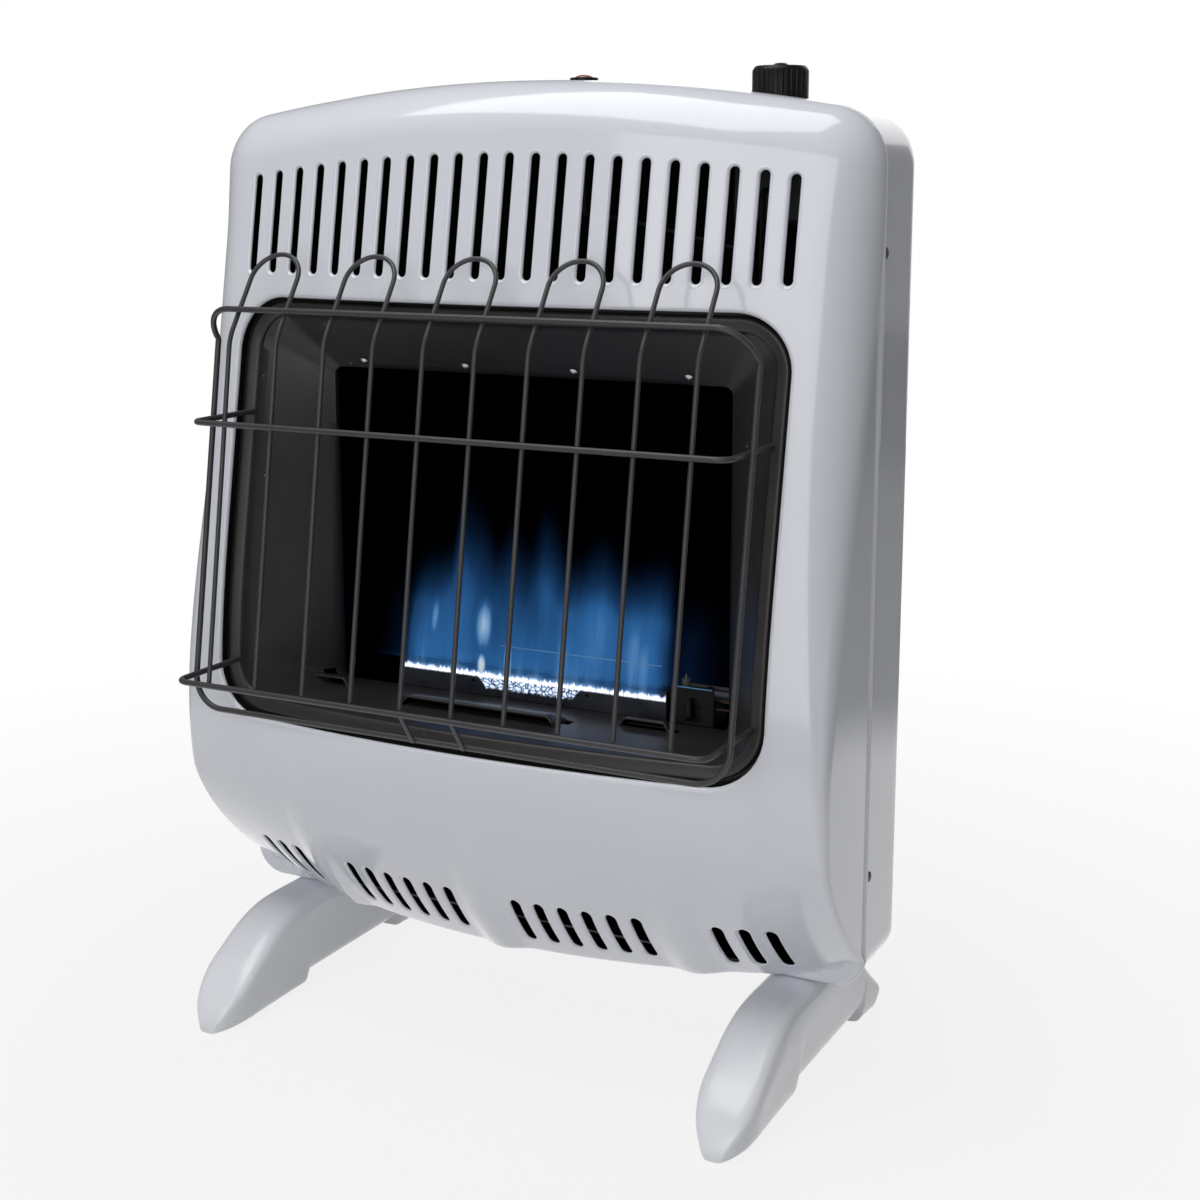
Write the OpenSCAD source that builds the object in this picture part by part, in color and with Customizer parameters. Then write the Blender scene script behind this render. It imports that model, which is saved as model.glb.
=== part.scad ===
// Free-standing blue flame propane heater: pressed enamel casing, open firebox behind a wire guard,
// bar burner with pilot, gas control and push igniter on top, and two shoe-shaped feet.
// X runs to the right of someone facing the heater, the front looks toward -Y, Z is up,
// and the origin lies on the floor under the middle of the heater.

/* [Casing] */
// Width of the casing
casing_w = 485; // [465:1:505]
// Height of the casing crown above the floor
crown_z = 651; // [640:1:670]
// Fall of the arched top from the crown to the sides
arch_fall = 24; // [16:1:30]
// Height of the casing bottom above the floor
casing_bottom = 69; // [66:1:74]
// Radius of the upper corners of the casing, seen from the front
top_corner_r = 38; // [36:1:46]
// Radius of the lower corners of the casing, seen from the front
low_corner_r = 22; // [16:1:28]
// Thickness of the casing sheet
sheet = 1.5; // [1.2:0.1:2]
// Depth of the rear casing behind the seam
rear_d = 58; // [56:1:70]
// Step from the front casing's side in to the rear casing's side
rear_step = 1.8; // [1.8:0.1:2.5]

/* [Casing front] */
// Depth of the front face ahead of the seam, at the reference height
face_d = 78; // [74:1:84]
// Height at which that depth is measured
face_ref_z = 460; // [450:1:470]
// Forward slope of the face toward the floor, per millimetre of height
face_lean = 0.179; // [0.17:0.001:0.19]
// How far the face falls back from its middle to its sides
face_bow = 26; // [22:1:28]
// Height at which the face starts to sweep back toward the bottom
sweep_z = 346; // [336:1:356]
// Gentle part of the sweep at the bottom edge
sweep_soft = 35; // [30:1:38]
// Steep part of the sweep at the bottom edge
sweep_steep = 68; // [62:1:72]
// Extra sweep of the sides at the bottom edge
sweep_side = 40; // [34:1:44]
// Height at which the sides start their extra sweep
side_sweep_z = 175; // [165:1:185]
// Rounding between face and sides at the upper casing
edge_high = 32; // [26:1:34]
// Rounding between face and sides at the bottom of the casing
edge_low = 4; // [3:0.5:5]
// Height of the three pressed ridges at the bottom edge
ridge_h = 7; // [4:0.5:9]
// Width of a ridge
ridge_w = 42; // [36:1:44]
// Height at which the ridges fade into the face
ridge_top_z = 212; // [200:1:218]

/* [Window] */
// Width of the window
window_w = 408; // [396:1:412]
// Bottom edge of the window
window_bottom = 223; // [221:1:232]
// Top edge of the window
window_top = 509; // [500:1:512]
// Corner radius of the window
window_r = 37; // [30:1:44]
// Bend radius of the sheet round the window edge
lip_r = 3; // [2.5:0.5:4]
// Depth of the turned-in window edge
lip_d = 9; // [7:0.5:11]

/* [Louvre slots] */
// Number of upper slots
slot_count = 22; // [18:2:22]
// Spacing of the upper slots
slot_pitch = 18.8; // [17:0.1:18.8]
// Width of an upper slot
slot_w = 6; // [4.5:0.5:7]
// Lower end of the upper slots
slot_bottom = 525.5; // [524:0.5:532]
// Upper end of the middle slots
slot_top = 604.6; // [590:0.1:607]
// Spacing of the lower slots
low_pitch = 16.9; // [15.5:0.1:16.9]
// Spacing between the slots on the two sides of a ridge
low_gap = 52.4; // [50:0.1:54]
// Width of a lower slot
low_slot_w = 7; // [5:0.5:8]
// Lower end of the lower slots
low_slot_bottom = 83.5; // [82:0.5:88]
// Upper end of the lower slots
low_slot_top = 120; // [112:1:124]

/* [Firebox] */
// Visible width of the firebox flange inside the window
flange_in = 12; // [9:0.5:15]
// Width of the flange hidden behind the casing
flange_out = 7; // [5:0.5:9]
// Width of the chamber behind the tapered tray
chamber_w = 302; // [296:1:304]
// Floor of the chamber
chamber_floor = 235; // [234:1:238]
// Ceiling of the chamber
chamber_top = 460; // [452:1:462]
// Front of the chamber ahead of the seam
chamber_front = 15; // [13:1:16]
// Depth of the chamber
chamber_d = 58; // [56:1:62]
// Sheet thickness of firebox and chamber
box_sheet = 1.2; // [1:0.1:1.5]

/* [Burner] */
// Length of the burner
burner_len = 208; // [196:1:210]
// Depth of the burner from front to back
burner_d = 44; // [42:1:46]
// Height of the burner
burner_h = 20; // [19:0.5:22]
// Number of flame ports in the front row
port_count = 27; // [21:2:29]
// Diameter of a flame port
port_d = 3.2; // [2:0.2:4]
// Outer diameter of the mixer tube
mixer_d = 16; // [14:0.5:17]

/* [Guard] */
// Wire diameter of the frame and the rails
rail_wire = 4; // [3.5:0.1:4.5]
// Wire diameter of the uprights
upright_wire = 3.2; // [2.8:0.1:3.6]
// Spacing of the uprights
upright_pitch = 37.5; // [36:0.5:40]
// Distance of the rails ahead of the face
rail_stand = 41; // [36:1:44]
// Distance of the rails' ends inside the window's edge
rail_inset = 11; // [9:0.5:13]
// Height of the middle rail
mid_rail_z = 430; // [420:1:440]
// Height of the lower rail
low_rail_z = 259; // [252:1:266]
// Height of the frame's top wire
frame_top_z = 504; // [498:1:508]
// Height of the frame's bottom wire
frame_bottom_z = 236; // [232:1:238]
// Height of the loops above the frame
loop_top_z = 539; // [536:1:546]
// Distance of the loops ahead of the face
loop_stand = 13; // [8:1:18]

/* [Controls] */
// Distance of knob and igniter behind the seam
control_back = 27; // [26:0.5:30]
// Distance of the knob's axis from the casing's side
knob_inset = 81.5; // [76:0.5:88]
// Knob diameter
knob_d = 35.5; // [32:0.5:38]
// Height of the knob top above the floor
knob_top = 660; // [657:0.5:664]
// Height of the knob
knob_h = 27; // [25:0.5:29]
// Number of grip flutes round the knob
flute_count = 30; // [20:2:34]
// Travel of the knob when it is pressed to light the pilot
press_travel = 4; // [3:0.5:4]
// Stem diameter
stem_d = 6; // [5:0.5:7]
// Sideways place of the igniter
igniter_x = 22; // [10:1:30]
// Igniter button diameter
button_d = 12.5; // [11:0.5:13]
// Height of the button top above the casing
button_rise = 7; // [6.5:0.5:9]
// Height of the collar round the button
nut_h = 5; // [4:0.5:5.5]
// Travel of the igniter button
button_travel = 4; // [3:0.5:5]

/* [Feet] */
// Distance of a foot's middle from the casing's side
foot_inset = 49.5; // [47:0.5:54]
// Width of a foot
foot_w = 46; // [40:1:48]
// How far a foot reaches ahead of the seam
foot_front = 134; // [128:1:140]
// How far a foot reaches behind the seam
foot_back = 123; // [116:1:128]
// Height of the recess under the foot, between its treads
foot_arch = 9; // [7:0.5:12]
// Length of the front tread
tread_front = 96; // [88:1:100]
// Length of the rear tread
tread_rear = 34; // [28:1:40]

/* [Hidden] */
$fn = 48;
// Gap between neighbouring pieces of the same fixed assembly
seat_gap = 0.3;
// Radial running clearance of turning and sliding fits
run_gap = 0.08;
// Gap between the welded wires of the guard, and between feet and casing
weld_gap = 0.2;
half_w = casing_w / 2;
knob_x = half_w - knob_inset;
foot_pitch = casing_w - 2 * foot_inset;
rail_half = window_w / 2 - rail_inset;

// Front face, as a distance behind the seam plane, negative toward the front
function clamp01(v) = min(1, max(0, v));
function smooth(v) = let (c = clamp01(v)) c * c * (3 - 2 * c);
function sweep_part(z) = max(0, (sweep_z - z) / (sweep_z - casing_bottom));
function side_part(z) = max(0, (side_sweep_z - z) / (side_sweep_z - casing_bottom));
ridge_x = low_gap + 5 * low_pitch;
function ridge_wave(d) = abs(d) < ridge_w / 2 ? (1 + cos(360 * d / ridge_w)) / 2 : 0;
function ridge(x, z) = ridge_h * (ridge_wave(x) + ridge_wave(abs(x) - ridge_x))
    * smooth((ridge_top_z - z) / (ridge_top_z - casing_bottom));
function face_rel(x, z) = let (t = sweep_part(z), b = (x / half_w) ^ 2)
    -face_d + face_lean * (z - face_ref_z) + face_bow * b
    + sweep_soft * t ^ 2 + sweep_steep * t ^ 4 + sweep_side * b * side_part(z) ^ 1.3 - ridge(x, z);

// Seam plane, placed so that guard and feet stand evenly about the origin
seam_y = -(face_rel(0, low_rail_z) - rail_stand - rail_wire / 2 + foot_back) / 2;
back_y = seam_y + rear_d;
// Least depth of the front casing's side wall and of its flat part next to the seam
wall_min = edge_low + 3;
wall_flat = 3;
function face_y(x, z) = seam_y + min(face_rel(x, z), -wall_min);

// Casing outline seen from the front: a list of [x, z, normal x, normal z], starting at the lower left
function arch_z(x) = crown_z - arch_fall * (x / half_w) ^ 2;
corner_tilt = atan(2 * arch_fall * (half_w - top_corner_r) / half_w ^ 2);
arch_x = half_w - top_corner_r + top_corner_r * sin(corner_tilt);
corner_z = arch_z(arch_x) - top_corner_r * cos(corner_tilt);
floor_x = half_w - low_corner_r;
side_z = casing_bottom + low_corner_r;
side_steps = 9;
low_turn = 4;
top_turn = 5;
arch_steps = 14;
function between(a, b, n) = [for (i = [1:n]) a + (b - a) * i / (n + 1)];
function over_ridge(x) = [for (k = [-3:3]) x + k * ridge_w / 6];
ridge_end = ridge_x + ridge_w / 2;
bottom_x = concat(
    [-floor_x], between(-floor_x, -ridge_end, 3), over_ridge(-ridge_x),
    between(ridge_w / 2 - ridge_x, -ridge_w / 2, 4), over_ridge(0),
    between(ridge_w / 2, ridge_x - ridge_w / 2, 4), over_ridge(ridge_x),
    between(ridge_end, floor_x, 3), [floor_x]);
function turn(cx, cz, r, a0, a1, n) = [for (a = between(a0, a1, n))
    [cx + r * cos(a), cz + r * sin(a), cos(a), sin(a)]];
function arch_point(x) = let (s = 2 * arch_fall * x / half_w ^ 2, l = norm([s, 1]))
    [x, arch_z(x), s / l, 1 / l];
function rise(i) = (i / side_steps) ^ 1.6;
outline = concat(
    [for (x = bottom_x) [x, casing_bottom, 0, -1]],
    turn(floor_x, side_z, low_corner_r, -90, 0, low_turn),
    [for (i = [0:side_steps]) [half_w, side_z + (corner_z - side_z) * rise(i), 1, 0]],
    turn(half_w - top_corner_r, corner_z, top_corner_r, 0, 90 - corner_tilt, top_turn),
    [for (i = [0:arch_steps]) arch_point(arch_x - 2 * arch_x * i / arch_steps)],
    turn(top_corner_r - half_w, corner_z, top_corner_r, 90 + corner_tilt, 180, top_turn),
    [for (i = [0:side_steps]) [-half_w, side_z + (corner_z - side_z) * rise(side_steps - i), -1, 0]],
    turn(-floor_x, side_z, low_corner_r, 180, 270, low_turn));
outline_n = len(outline);
function inset(e) = [for (p = outline) [p[0] - e * p[2], p[1] - e * p[3]]];

// Window outline with as many points as the casing outline, grown outward by q
window_half = window_w / 2;
window_flat_x = window_half - window_r;
window_low_z = window_bottom + window_r;
window_high_z = window_top - window_r;
function window_x(x) = abs(x) <= ridge_end ? x
    : sign(x) * (ridge_end + (abs(x) - ridge_end) * (window_flat_x - ridge_end) / (floor_x - ridge_end));
function window(q) = concat(
    [for (x = bottom_x) [window_x(x), window_bottom - q]],
    turn(window_flat_x, window_low_z, window_r + q, -90, 0, low_turn),
    [for (i = [0:side_steps]) [window_half + q, window_low_z + (window_high_z - window_low_z) * rise(i)]],
    turn(window_flat_x, window_high_z, window_r + q, 0, 90, top_turn),
    [for (i = [0:arch_steps]) [window_flat_x * (1 - 2 * i / arch_steps), window_top + q]],
    turn(-window_flat_x, window_high_z, window_r + q, 90, 180, top_turn),
    [for (i = [0:side_steps])
        [-window_half - q, window_low_z + (window_high_z - window_low_z) * rise(side_steps - i)]],
    turn(-window_flat_x, window_low_z, window_r + q, 180, 270, low_turn));

// Faces of a grid of rings, each with n points in order, closed round each ring
function ring_faces(rings, n, closed) = [
    for (i = [0:rings - (closed ? 1 : 2)], k = [0:n - 1])
        let (j = (i + 1) % rings, m = (k + 1) % n)
            each [[i * n + k, j * n + k, j * n + m], [i * n + k, j * n + m, i * n + m]]];

// A closed sheet from a list of rings that returns to its start
module sheet_loop(rings) {
    n = len(rings[0]);
    polyhedron([for (r = rings) each r], ring_faces(len(rings), n, true), convexity = 12);
}

// A solid through a list of rings, capped at both ends
module loft(rings) {
    n = len(rings[0]);
    last = (len(rings) - 1) * n;
    caps = [[for (k = [0:n - 1]) k], [for (k = [0:n - 1]) last + n - 1 - k]];
    polyhedron([for (r = rings) each r], concat(ring_faces(len(rings), n, false), caps), convexity = 8);
}

// Round wire along a path
function unit(v) = v / norm(v);
module wire(path, d, ref = [0, 1, 0], closed = false, sides = 8) {
    n = len(path);
    rings = [for (i = [0:n - 1])
        let (a = path[closed ? (i + n - 1) % n : max(i - 1, 0)],
            b = path[closed ? (i + 1) % n : min(i + 1, n - 1)],
            u = unit(cross(b - a, ref)), v = unit(cross(b - a, u)))
            [for (k = [0:sides - 1])
                let (a = 360 * k / sides) path[i] + d / 2 * (cos(a) * u + sin(a) * v)]];
    if (closed) sheet_loop(rings);
    else loft(rings);
}

// Path with its corners rounded to radius r, in n steps each
function rounded_corner(a, b, c, r, n) = let (
    p = unit(a - b), q = unit(c - b), half = acos(p * q) / 2, cut = r / tan(half))
    [for (i = [0:n]) let (f = i / n) b + cut * ((1 - f) ^ 2 * p + f ^ 2 * q)];
function rounded_path(pts, r, n = 4) = concat([pts[0]],
    [for (i = [1:len(pts) - 2]) each rounded_corner(pts[i - 1], pts[i], pts[i + 1], r, n)],
    [pts[len(pts) - 1]]);

// Extrude a shape drawn in X and Z from y0 to y1
module along_y(y0, y1) {
    translate([0, y1, 0]) rotate([90, 0, 0]) linear_extrude(y1 - y0) children();
}

// Cylinder along Y
module rod_y(d, y0, y1) {
    translate([0, y1, 0]) rotate([90, 0, 0]) cylinder(d = d, h = y1 - y0);
}

// Cylinder along X
module rod_x(d, x0, x1) {
    translate([x0, 0, 0]) rotate([0, 90, 0]) cylinder(d = d, h = x1 - x0);
}

// Upright slot with round ends, drawn in X and Z
module slot_shape(w, z0, z1) {
    translate([-w / 2, z0 + w / 2]) square([w, z1 - z0 - w]);
    translate([0, z0 + w / 2]) circle(d = w);
    translate([0, z1 - w / 2]) circle(d = w);
}

// Front casing
// Edge rounding falls from the upper casing to the bottom
edge_from_z = 130;
function edge_r(z) = edge_low
    + (edge_high - edge_low) * smooth((z - edge_from_z) / (face_ref_z - edge_from_z));
face_rings = 8;
edge_angles = [0, 30, 60, 90];
lip_angles = [45, 90];
// One skin, d is its distance inside the outer surface
function skin(d) = let (
    grow = window(lip_r),
    edge = [for (p = outline) edge_r(p[1])],
    deep = [for (i = [0:outline_n - 1]) let (p = outline[i])
        min(edge[i], seam_y - face_y(p[0], p[1]) - wall_flat)],
    brow = [for (i = [0:outline_n - 1])
        let (p = outline[i], e = edge[i]) [p[0] - e * p[2], p[1] - e * p[3]]])
    concat(
        [[for (p = outline) [p[0] - d * p[2], seam_y, p[1] - d * p[3]]]],
        [for (a = edge_angles) [for (i = [0:outline_n - 1])
            let (p = outline[i], e = edge[i] - (edge[i] - d) * cos(a), o = edge[i] * (1 - cos(a)))
            [p[0] - e * p[2],
                face_y(p[0] - o * p[2], p[1] - o * p[3]) + deep[i] - (deep[i] - d) * sin(a),
                p[1] - e * p[3]]]],
        [for (s = [1:face_rings]) [for (i = [0:outline_n - 1])
            let (q = brow[i] + (grow[i] - brow[i]) * s / face_rings)
            [q[0], face_y(q[0], q[1]) + d, q[1]]]],
        [for (a = lip_angles)
            [for (q = window(lip_r - (lip_r - d) * sin(a)))
                [q[0], face_y(q[0], q[1]) + lip_r - (lip_r - d) * cos(a), q[1]]]],
        [[for (q = window(d)) [q[0], face_y(q[0], q[1]) + lip_d, q[1]]]]);
function reversed(v) = [for (i = [len(v) - 1:-1:0]) v[i]];

module front_casing() {
    color("whitesmoke") difference() {
        sheet_loop(concat(skin(0), reversed(skin(sheet))));
        along_y(seam_y - 2 * face_d, seam_y - wall_flat) upper_slots();
        along_y(seam_y - 2 * face_d, seam_y - wall_flat) lower_slots();
    }
}

module upper_slots() {
    for (i = [0:slot_count - 1]) {
        x = (i - (slot_count - 1) / 2) * slot_pitch;
        fall = (crown_z - arch_z(x)) * window_half / half_w;
        translate([x, 0]) slot_shape(slot_w, slot_bottom, slot_top - fall);
    }
}

module lower_slots() {
    for (side = [-1, 1], i = [0:8]) {
        x = low_gap / 2 + i * low_pitch + (i > 5 ? low_gap - low_pitch : 0);
        translate([side * x, 0]) slot_shape(low_slot_w, low_slot_bottom, low_slot_top);
    }
}

// Rear casing
control_y = seam_y + control_back;
rear_front = seam_y - wall_flat + 1;
rear_inner = rear_step + sheet;
back_inner = back_y - sheet;
knob_hole_gap = 1.5;
keyhole_pitch = 300;
keyhole_z = 540;
keyhole_d = 9;
keyhole_neck = 5;
keyhole_len = 14;
inlet_inset = 47.5;
inlet_x = half_w - inlet_inset;
inlet_z = 150;
inlet_d = 15.8;
inlet_reach = 15;
foot_screw_d = 4.2;
foot_screw_inset = 14;
foot_screw_y = [seam_y + foot_screw_inset, back_y - foot_screw_inset];
// Top of the rear casing sheet at a place across the width
function rear_top(x) = arch_z(x) - rear_step;
igniter_neck = button_d + 3.2;

module rear_casing() {
    color("gainsboro") difference() {
        along_y(rear_front, back_y) polygon(inset(rear_step));
        along_y(rear_front - 1, back_inner) polygon(inset(rear_inner));
        translate([knob_x, control_y, corner_z]) cylinder(d = knob_d + 2 * knob_hole_gap, h = crown_z);
        translate([igniter_x, control_y, corner_z]) cylinder(d = igniter_neck + 2 * seat_gap, h = crown_z);
        for (side = [-1, 1]) {
            translate([side * keyhole_pitch / 2, 0, keyhole_z])
                rod_y(keyhole_d, back_inner - 1, back_y + 1);
            along_y(back_inner - 1, back_y + 1)
                translate([side * keyhole_pitch / 2, 0])
                    slot_shape(keyhole_neck, keyhole_z, keyhole_z + keyhole_len);
            for (y = foot_screw_y)
                translate([side * foot_pitch / 2, y, 0])
                    cylinder(d = foot_screw_d + 2 * seat_gap, h = 2 * casing_bottom);
        }
        translate([inlet_x, 0, inlet_z]) rod_y(inlet_d + 2, back_inner - 1, back_y + 1);
    }
}

// Side screws through the rim of the rear casing
side_screw_z = [144, 544];
side_screw_back = 4.5;
screw_head_d = 7;
screw_head_h = 1.4;
module casing_screws() {
    color("silver") for (side = [-1, 1], z = side_screw_z)
        translate([side * (half_w - rear_step), seam_y + side_screw_back, z]) rotate([0, side * 90, 0])
            rotate_extrude() polygon([[0, 0], [screw_head_d / 2, 0], [screw_head_d / 2, screw_head_h / 2],
                [screw_head_d / 4, screw_head_h], [0, screw_head_h]]);
}

// Firebox: flange behind the window, then tapered walls to the chamber mouth
mouth_steps = 6;
chamber_half = chamber_w / 2;
chamber_y = seam_y - chamber_front;
chamber_mid = (chamber_floor + chamber_top) / 2;
flange_seat = lip_d + seat_gap;
// Rounded rectangle about a middle height, as [x, z], with points along its sides
function box_ring(hx, z0, z1, r) = let (sx = hx - r, sz = (z1 - z0) / 2 - r, m = (z0 + z1) / 2)
    concat(
        [for (i = [0:mouth_steps]) [-sx + 2 * sx * i / mouth_steps, z0]],
        [for (p = turn(sx, m - sz, r, -90, 0, 3)) [p[0], p[1]]],
        [for (i = [0:mouth_steps]) [hx, m - sz + 2 * sz * i / mouth_steps]],
        [for (p = turn(sx, m + sz, r, 0, 90, 3)) [p[0], p[1]]],
        [for (i = [0:mouth_steps]) [sx - 2 * sx * i / mouth_steps, z1]],
        [for (p = turn(-sx, m + sz, r, 90, 180, 3)) [p[0], p[1]]],
        [for (i = [0:mouth_steps]) [-hx, m + sz - 2 * sz * i / mouth_steps]],
        [for (p = turn(-sx, m - sz, r, 180, 270, 3)) [p[0], p[1]]]);
function window_ring(q) = box_ring(window_half + q, window_bottom - q, window_top + q, window_r + q);
chamber_r = 6;
function chamber_ring(q) = box_ring(chamber_half + q, chamber_floor - q, chamber_top + q, chamber_r + q);
function flange_ring(q, d) = [for (p = window_ring(q)) [p[0], face_y(p[0], p[1]) + flange_seat + d, p[1]]];
function mouth_ring(q, y) = [for (p = chamber_ring(q)) [p[0], y, p[1]]];
bead = 4;
// Air slots in the floor of the tray, as [middle across, distance behind the seam, length]
floor_slots = [[-160, -27, 36], [-17, -46, 134], [102, -31, 40]];
floor_slot_w = 9;
module firebox() {
    color("dimgray") difference() {
        sheet_loop([
            flange_ring(flange_out, 0), flange_ring(bead - flange_in, 0), flange_ring(-flange_in, bead),
            mouth_ring(0, chamber_y - bead), mouth_ring(0, chamber_y),
            mouth_ring(box_sheet, chamber_y), mouth_ring(box_sheet, chamber_y - bead),
            flange_ring(box_sheet - flange_in, bead + box_sheet),
            flange_ring(bead - flange_in, box_sheet), flange_ring(flange_out, box_sheet)]);
        for (s = floor_slots)
            translate([s[0] - s[2] / 2, seam_y + s[1] - floor_slot_w / 2, chamber_floor - 2 * bead])
                cube([s[2], floor_slot_w, 4 * bead]);
    }
}

// Rivets in the sloping ceiling of the firebox, near the chamber
rivet_count = 4;
rivet_pitch = 82;
rivet_d = 6;
rivet_back = 0.85;
rivet_gap = 0.7;
// Ceiling line from the flange to the chamber at a place across the width, as [y, z]
ceiling_z = window_top - flange_in;
function ceiling_front(x) = [face_y(1.1 * x, ceiling_z) + flange_seat + bead, ceiling_z];
ceiling_back = [chamber_y - bead, chamber_top];
function rivet_at(x) = ceiling_front(x) + rivet_back * (ceiling_back - ceiling_front(x));
ceiling_slope = atan2(ceiling_front(0)[1] - ceiling_back[1], ceiling_back[0] - ceiling_front(0)[0]);
module firebox_rivets() {
    color("silver") for (i = [0:rivet_count - 1]) {
        x = (i - (rivet_count - 1) / 2) * rivet_pitch;
        translate([x, rivet_at(x)[0], rivet_at(x)[1]]) rotate([180 - ceiling_slope, 0, 0])
            translate([0, 0, rivet_gap]) rotate_extrude() intersection() {
                translate([0, -rivet_d / 2]) circle(d = rivet_d * 1.4);
                square([rivet_d / 2, rivet_d]);
            }
    }
}

// Chamber behind the firebox: five welded plates, with a flue gap along the ceiling
chamber_back = chamber_y + chamber_d;
plate_front = chamber_y + seat_gap;
plate_half = chamber_half - weld_gap;
plate_back = chamber_back - box_sheet - weld_gap;
flue_len = 230;
flue_w = 16;
flue_back = 14;
wall_pass = [[-13, 4], [241, 264]];
mixer_y = seam_y + 20;
mixer_z = chamber_floor + burner_h / 2;
module chamber_plate(x0, x1, y0, y1, z0, z1) {
    color("darkslategray") translate([x0, y0, z0]) cube([x1 - x0, y1 - y0, z1 - z0]);
}
module chamber_back_wall() {
    chamber_plate(-plate_half, plate_half, chamber_back - box_sheet, chamber_back,
        chamber_floor - box_sheet, chamber_top + box_sheet);
}
module chamber_base() {
    chamber_plate(-plate_half, plate_half, plate_front, plate_back,
        chamber_floor - box_sheet, chamber_floor);
}
module chamber_ceiling() {
    difference() {
        chamber_plate(-plate_half, plate_half, plate_front, plate_back,
            chamber_top, chamber_top + box_sheet);
        translate([-flue_len / 2, seam_y + flue_back, chamber_top - 1])
            cube([flue_len, flue_w, 4 * box_sheet]);
    }
}
module chamber_left_wall() {
    chamber_plate(-chamber_half - box_sheet, -chamber_half, plate_front, chamber_back,
        chamber_floor - box_sheet, chamber_top + box_sheet);
}
module chamber_right_wall() {
    difference() {
        chamber_plate(chamber_half, chamber_half + box_sheet, plate_front, chamber_back,
            chamber_floor - box_sheet, chamber_top + box_sheet);
        translate([0, mixer_y, mixer_z])
            rod_x(mixer_d + 2 * seat_gap, chamber_half - 1, chamber_half + 2 * box_sheet);
        translate([chamber_half - 1, seam_y + wall_pass[0][0], wall_pass[1][0]])
            cube([4 * box_sheet, wall_pass[0][1] - wall_pass[0][0], wall_pass[1][1] - wall_pass[1][0]]);
    }
}

// Bracket that ties the chamber to the back of the casing
tie_w = 30;
tie_h = 40;
module chamber_bracket() {
    color("silver") for (side = [-1, 1])
        translate([side * chamber_half / 2 - tie_w / 2, chamber_back + weld_gap, chamber_mid - tie_h / 2])
            cube([tie_w, back_inner - chamber_back - 2 * weld_gap, tie_h]);
}

// Deflector over the chamber that keeps the heat off the controls
shield_z = chamber_top + 22;
shield_drop = 10;
shield_front = seam_y - 8;
shield_d = back_inner - weld_gap - shield_front;
module heat_shield() {
    color("darkgray") difference() {
        translate([-chamber_half, shield_front, shield_z - shield_drop])
            cube([chamber_w, shield_d, shield_drop]);
        translate([-chamber_half - 1, shield_front + box_sheet, shield_z - shield_drop - box_sheet])
            cube([chamber_w + 2, shield_d - 2 * box_sheet, shield_drop]);
    }
}

// Bar burner with a row of ports along its upper front edge and a denser patch in the middle
burner_half = burner_len / 2;
burner_front = chamber_y + 1;
burner_sheet = 1;
port_pitch = (burner_len - 14) / (port_count - 1);
port_z = chamber_floor + burner_h - 5;
patch_count = 13;
module burner() {
    color("gray") difference() {
        translate([-burner_half, burner_front, chamber_floor]) cube([burner_len, burner_d, burner_h]);
        translate([-burner_half + burner_sheet, burner_front + burner_sheet, chamber_floor + burner_sheet])
            cube([burner_len - 2 * burner_sheet, burner_d - 2 * burner_sheet, burner_h - 2 * burner_sheet]);
        for (i = [0:port_count - 1])
            translate([(i - (port_count - 1) / 2) * port_pitch, 0, port_z])
                rod_y(port_d, burner_front - 1, burner_front + 2 * burner_sheet);
        for (i = [0:patch_count - 1])
            translate([(i - (patch_count - 1) / 2) * port_pitch, 0, port_z - 1.6 * port_d])
                rod_y(port_d * 0.8, burner_front - 1, burner_front + 2 * burner_sheet);
        translate([0, mixer_y, mixer_z])
            rod_x(mixer_d + 2 * seat_gap, burner_half - 2 * burner_sheet, burner_half + 1);
    }
}

// Mixer tube with its bell mouth
mixer_out = 12;
mixer_end = chamber_half + mixer_out;
mixer_wall = 1.2;
mixer_reach = mixer_end - burner_half + burner_sheet;
bell_d = mixer_d + 6;
bell_h = 8;
module mixer_tube() {
    color("silver") translate([burner_half - burner_sheet, mixer_y, mixer_z]) rotate([0, 90, 0])
        rotate_extrude() polygon([
            [mixer_d / 2 - mixer_wall, 0], [mixer_d / 2, 0], [mixer_d / 2, mixer_reach - bell_h],
            [bell_d / 2, mixer_reach], [bell_d / 2 - mixer_wall, mixer_reach],
            [mixer_d / 2 - mixer_wall, mixer_reach - bell_h]]);
}

// Brass injector held in a bracket just outside the bell mouth
injector_d = 8;
injector_tip = 8;
injector_hex = 14;
injector_hex_h = 10;
injector_tail = 6;
bell_gap = 5;
bracket_x = mixer_end + bell_gap;
hex_x = bracket_x + box_sheet + seat_gap;
injector_end = hex_x + injector_hex_h + injector_tail;
module injector() {
    color("goldenrod") translate([0, mixer_y, mixer_z]) {
        translate([bracket_x - injector_tip, 0, 0]) rotate([0, 90, 0])
            cylinder(d1 = injector_d / 2, d2 = injector_d, h = injector_tip);
        rod_x(injector_d, bracket_x, hex_x);
        translate([hex_x, 0, 0]) rotate([0, 90, 0]) cylinder(d = injector_hex, h = injector_hex_h, $fn = 6);
        rod_x(injector_d + 2, hex_x + injector_hex_h, injector_end);
    }
}
module injector_bracket() {
    color("silver") difference() {
        translate([bracket_x, mixer_y - injector_hex, mixer_z - injector_hex])
            cube([box_sheet, back_inner - mixer_y + injector_hex, 2 * injector_hex]);
        translate([0, mixer_y, mixer_z])
            rod_x(injector_d + 2 * seat_gap, bracket_x - 1, bracket_x + 2 * box_sheet);
    }
}

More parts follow.
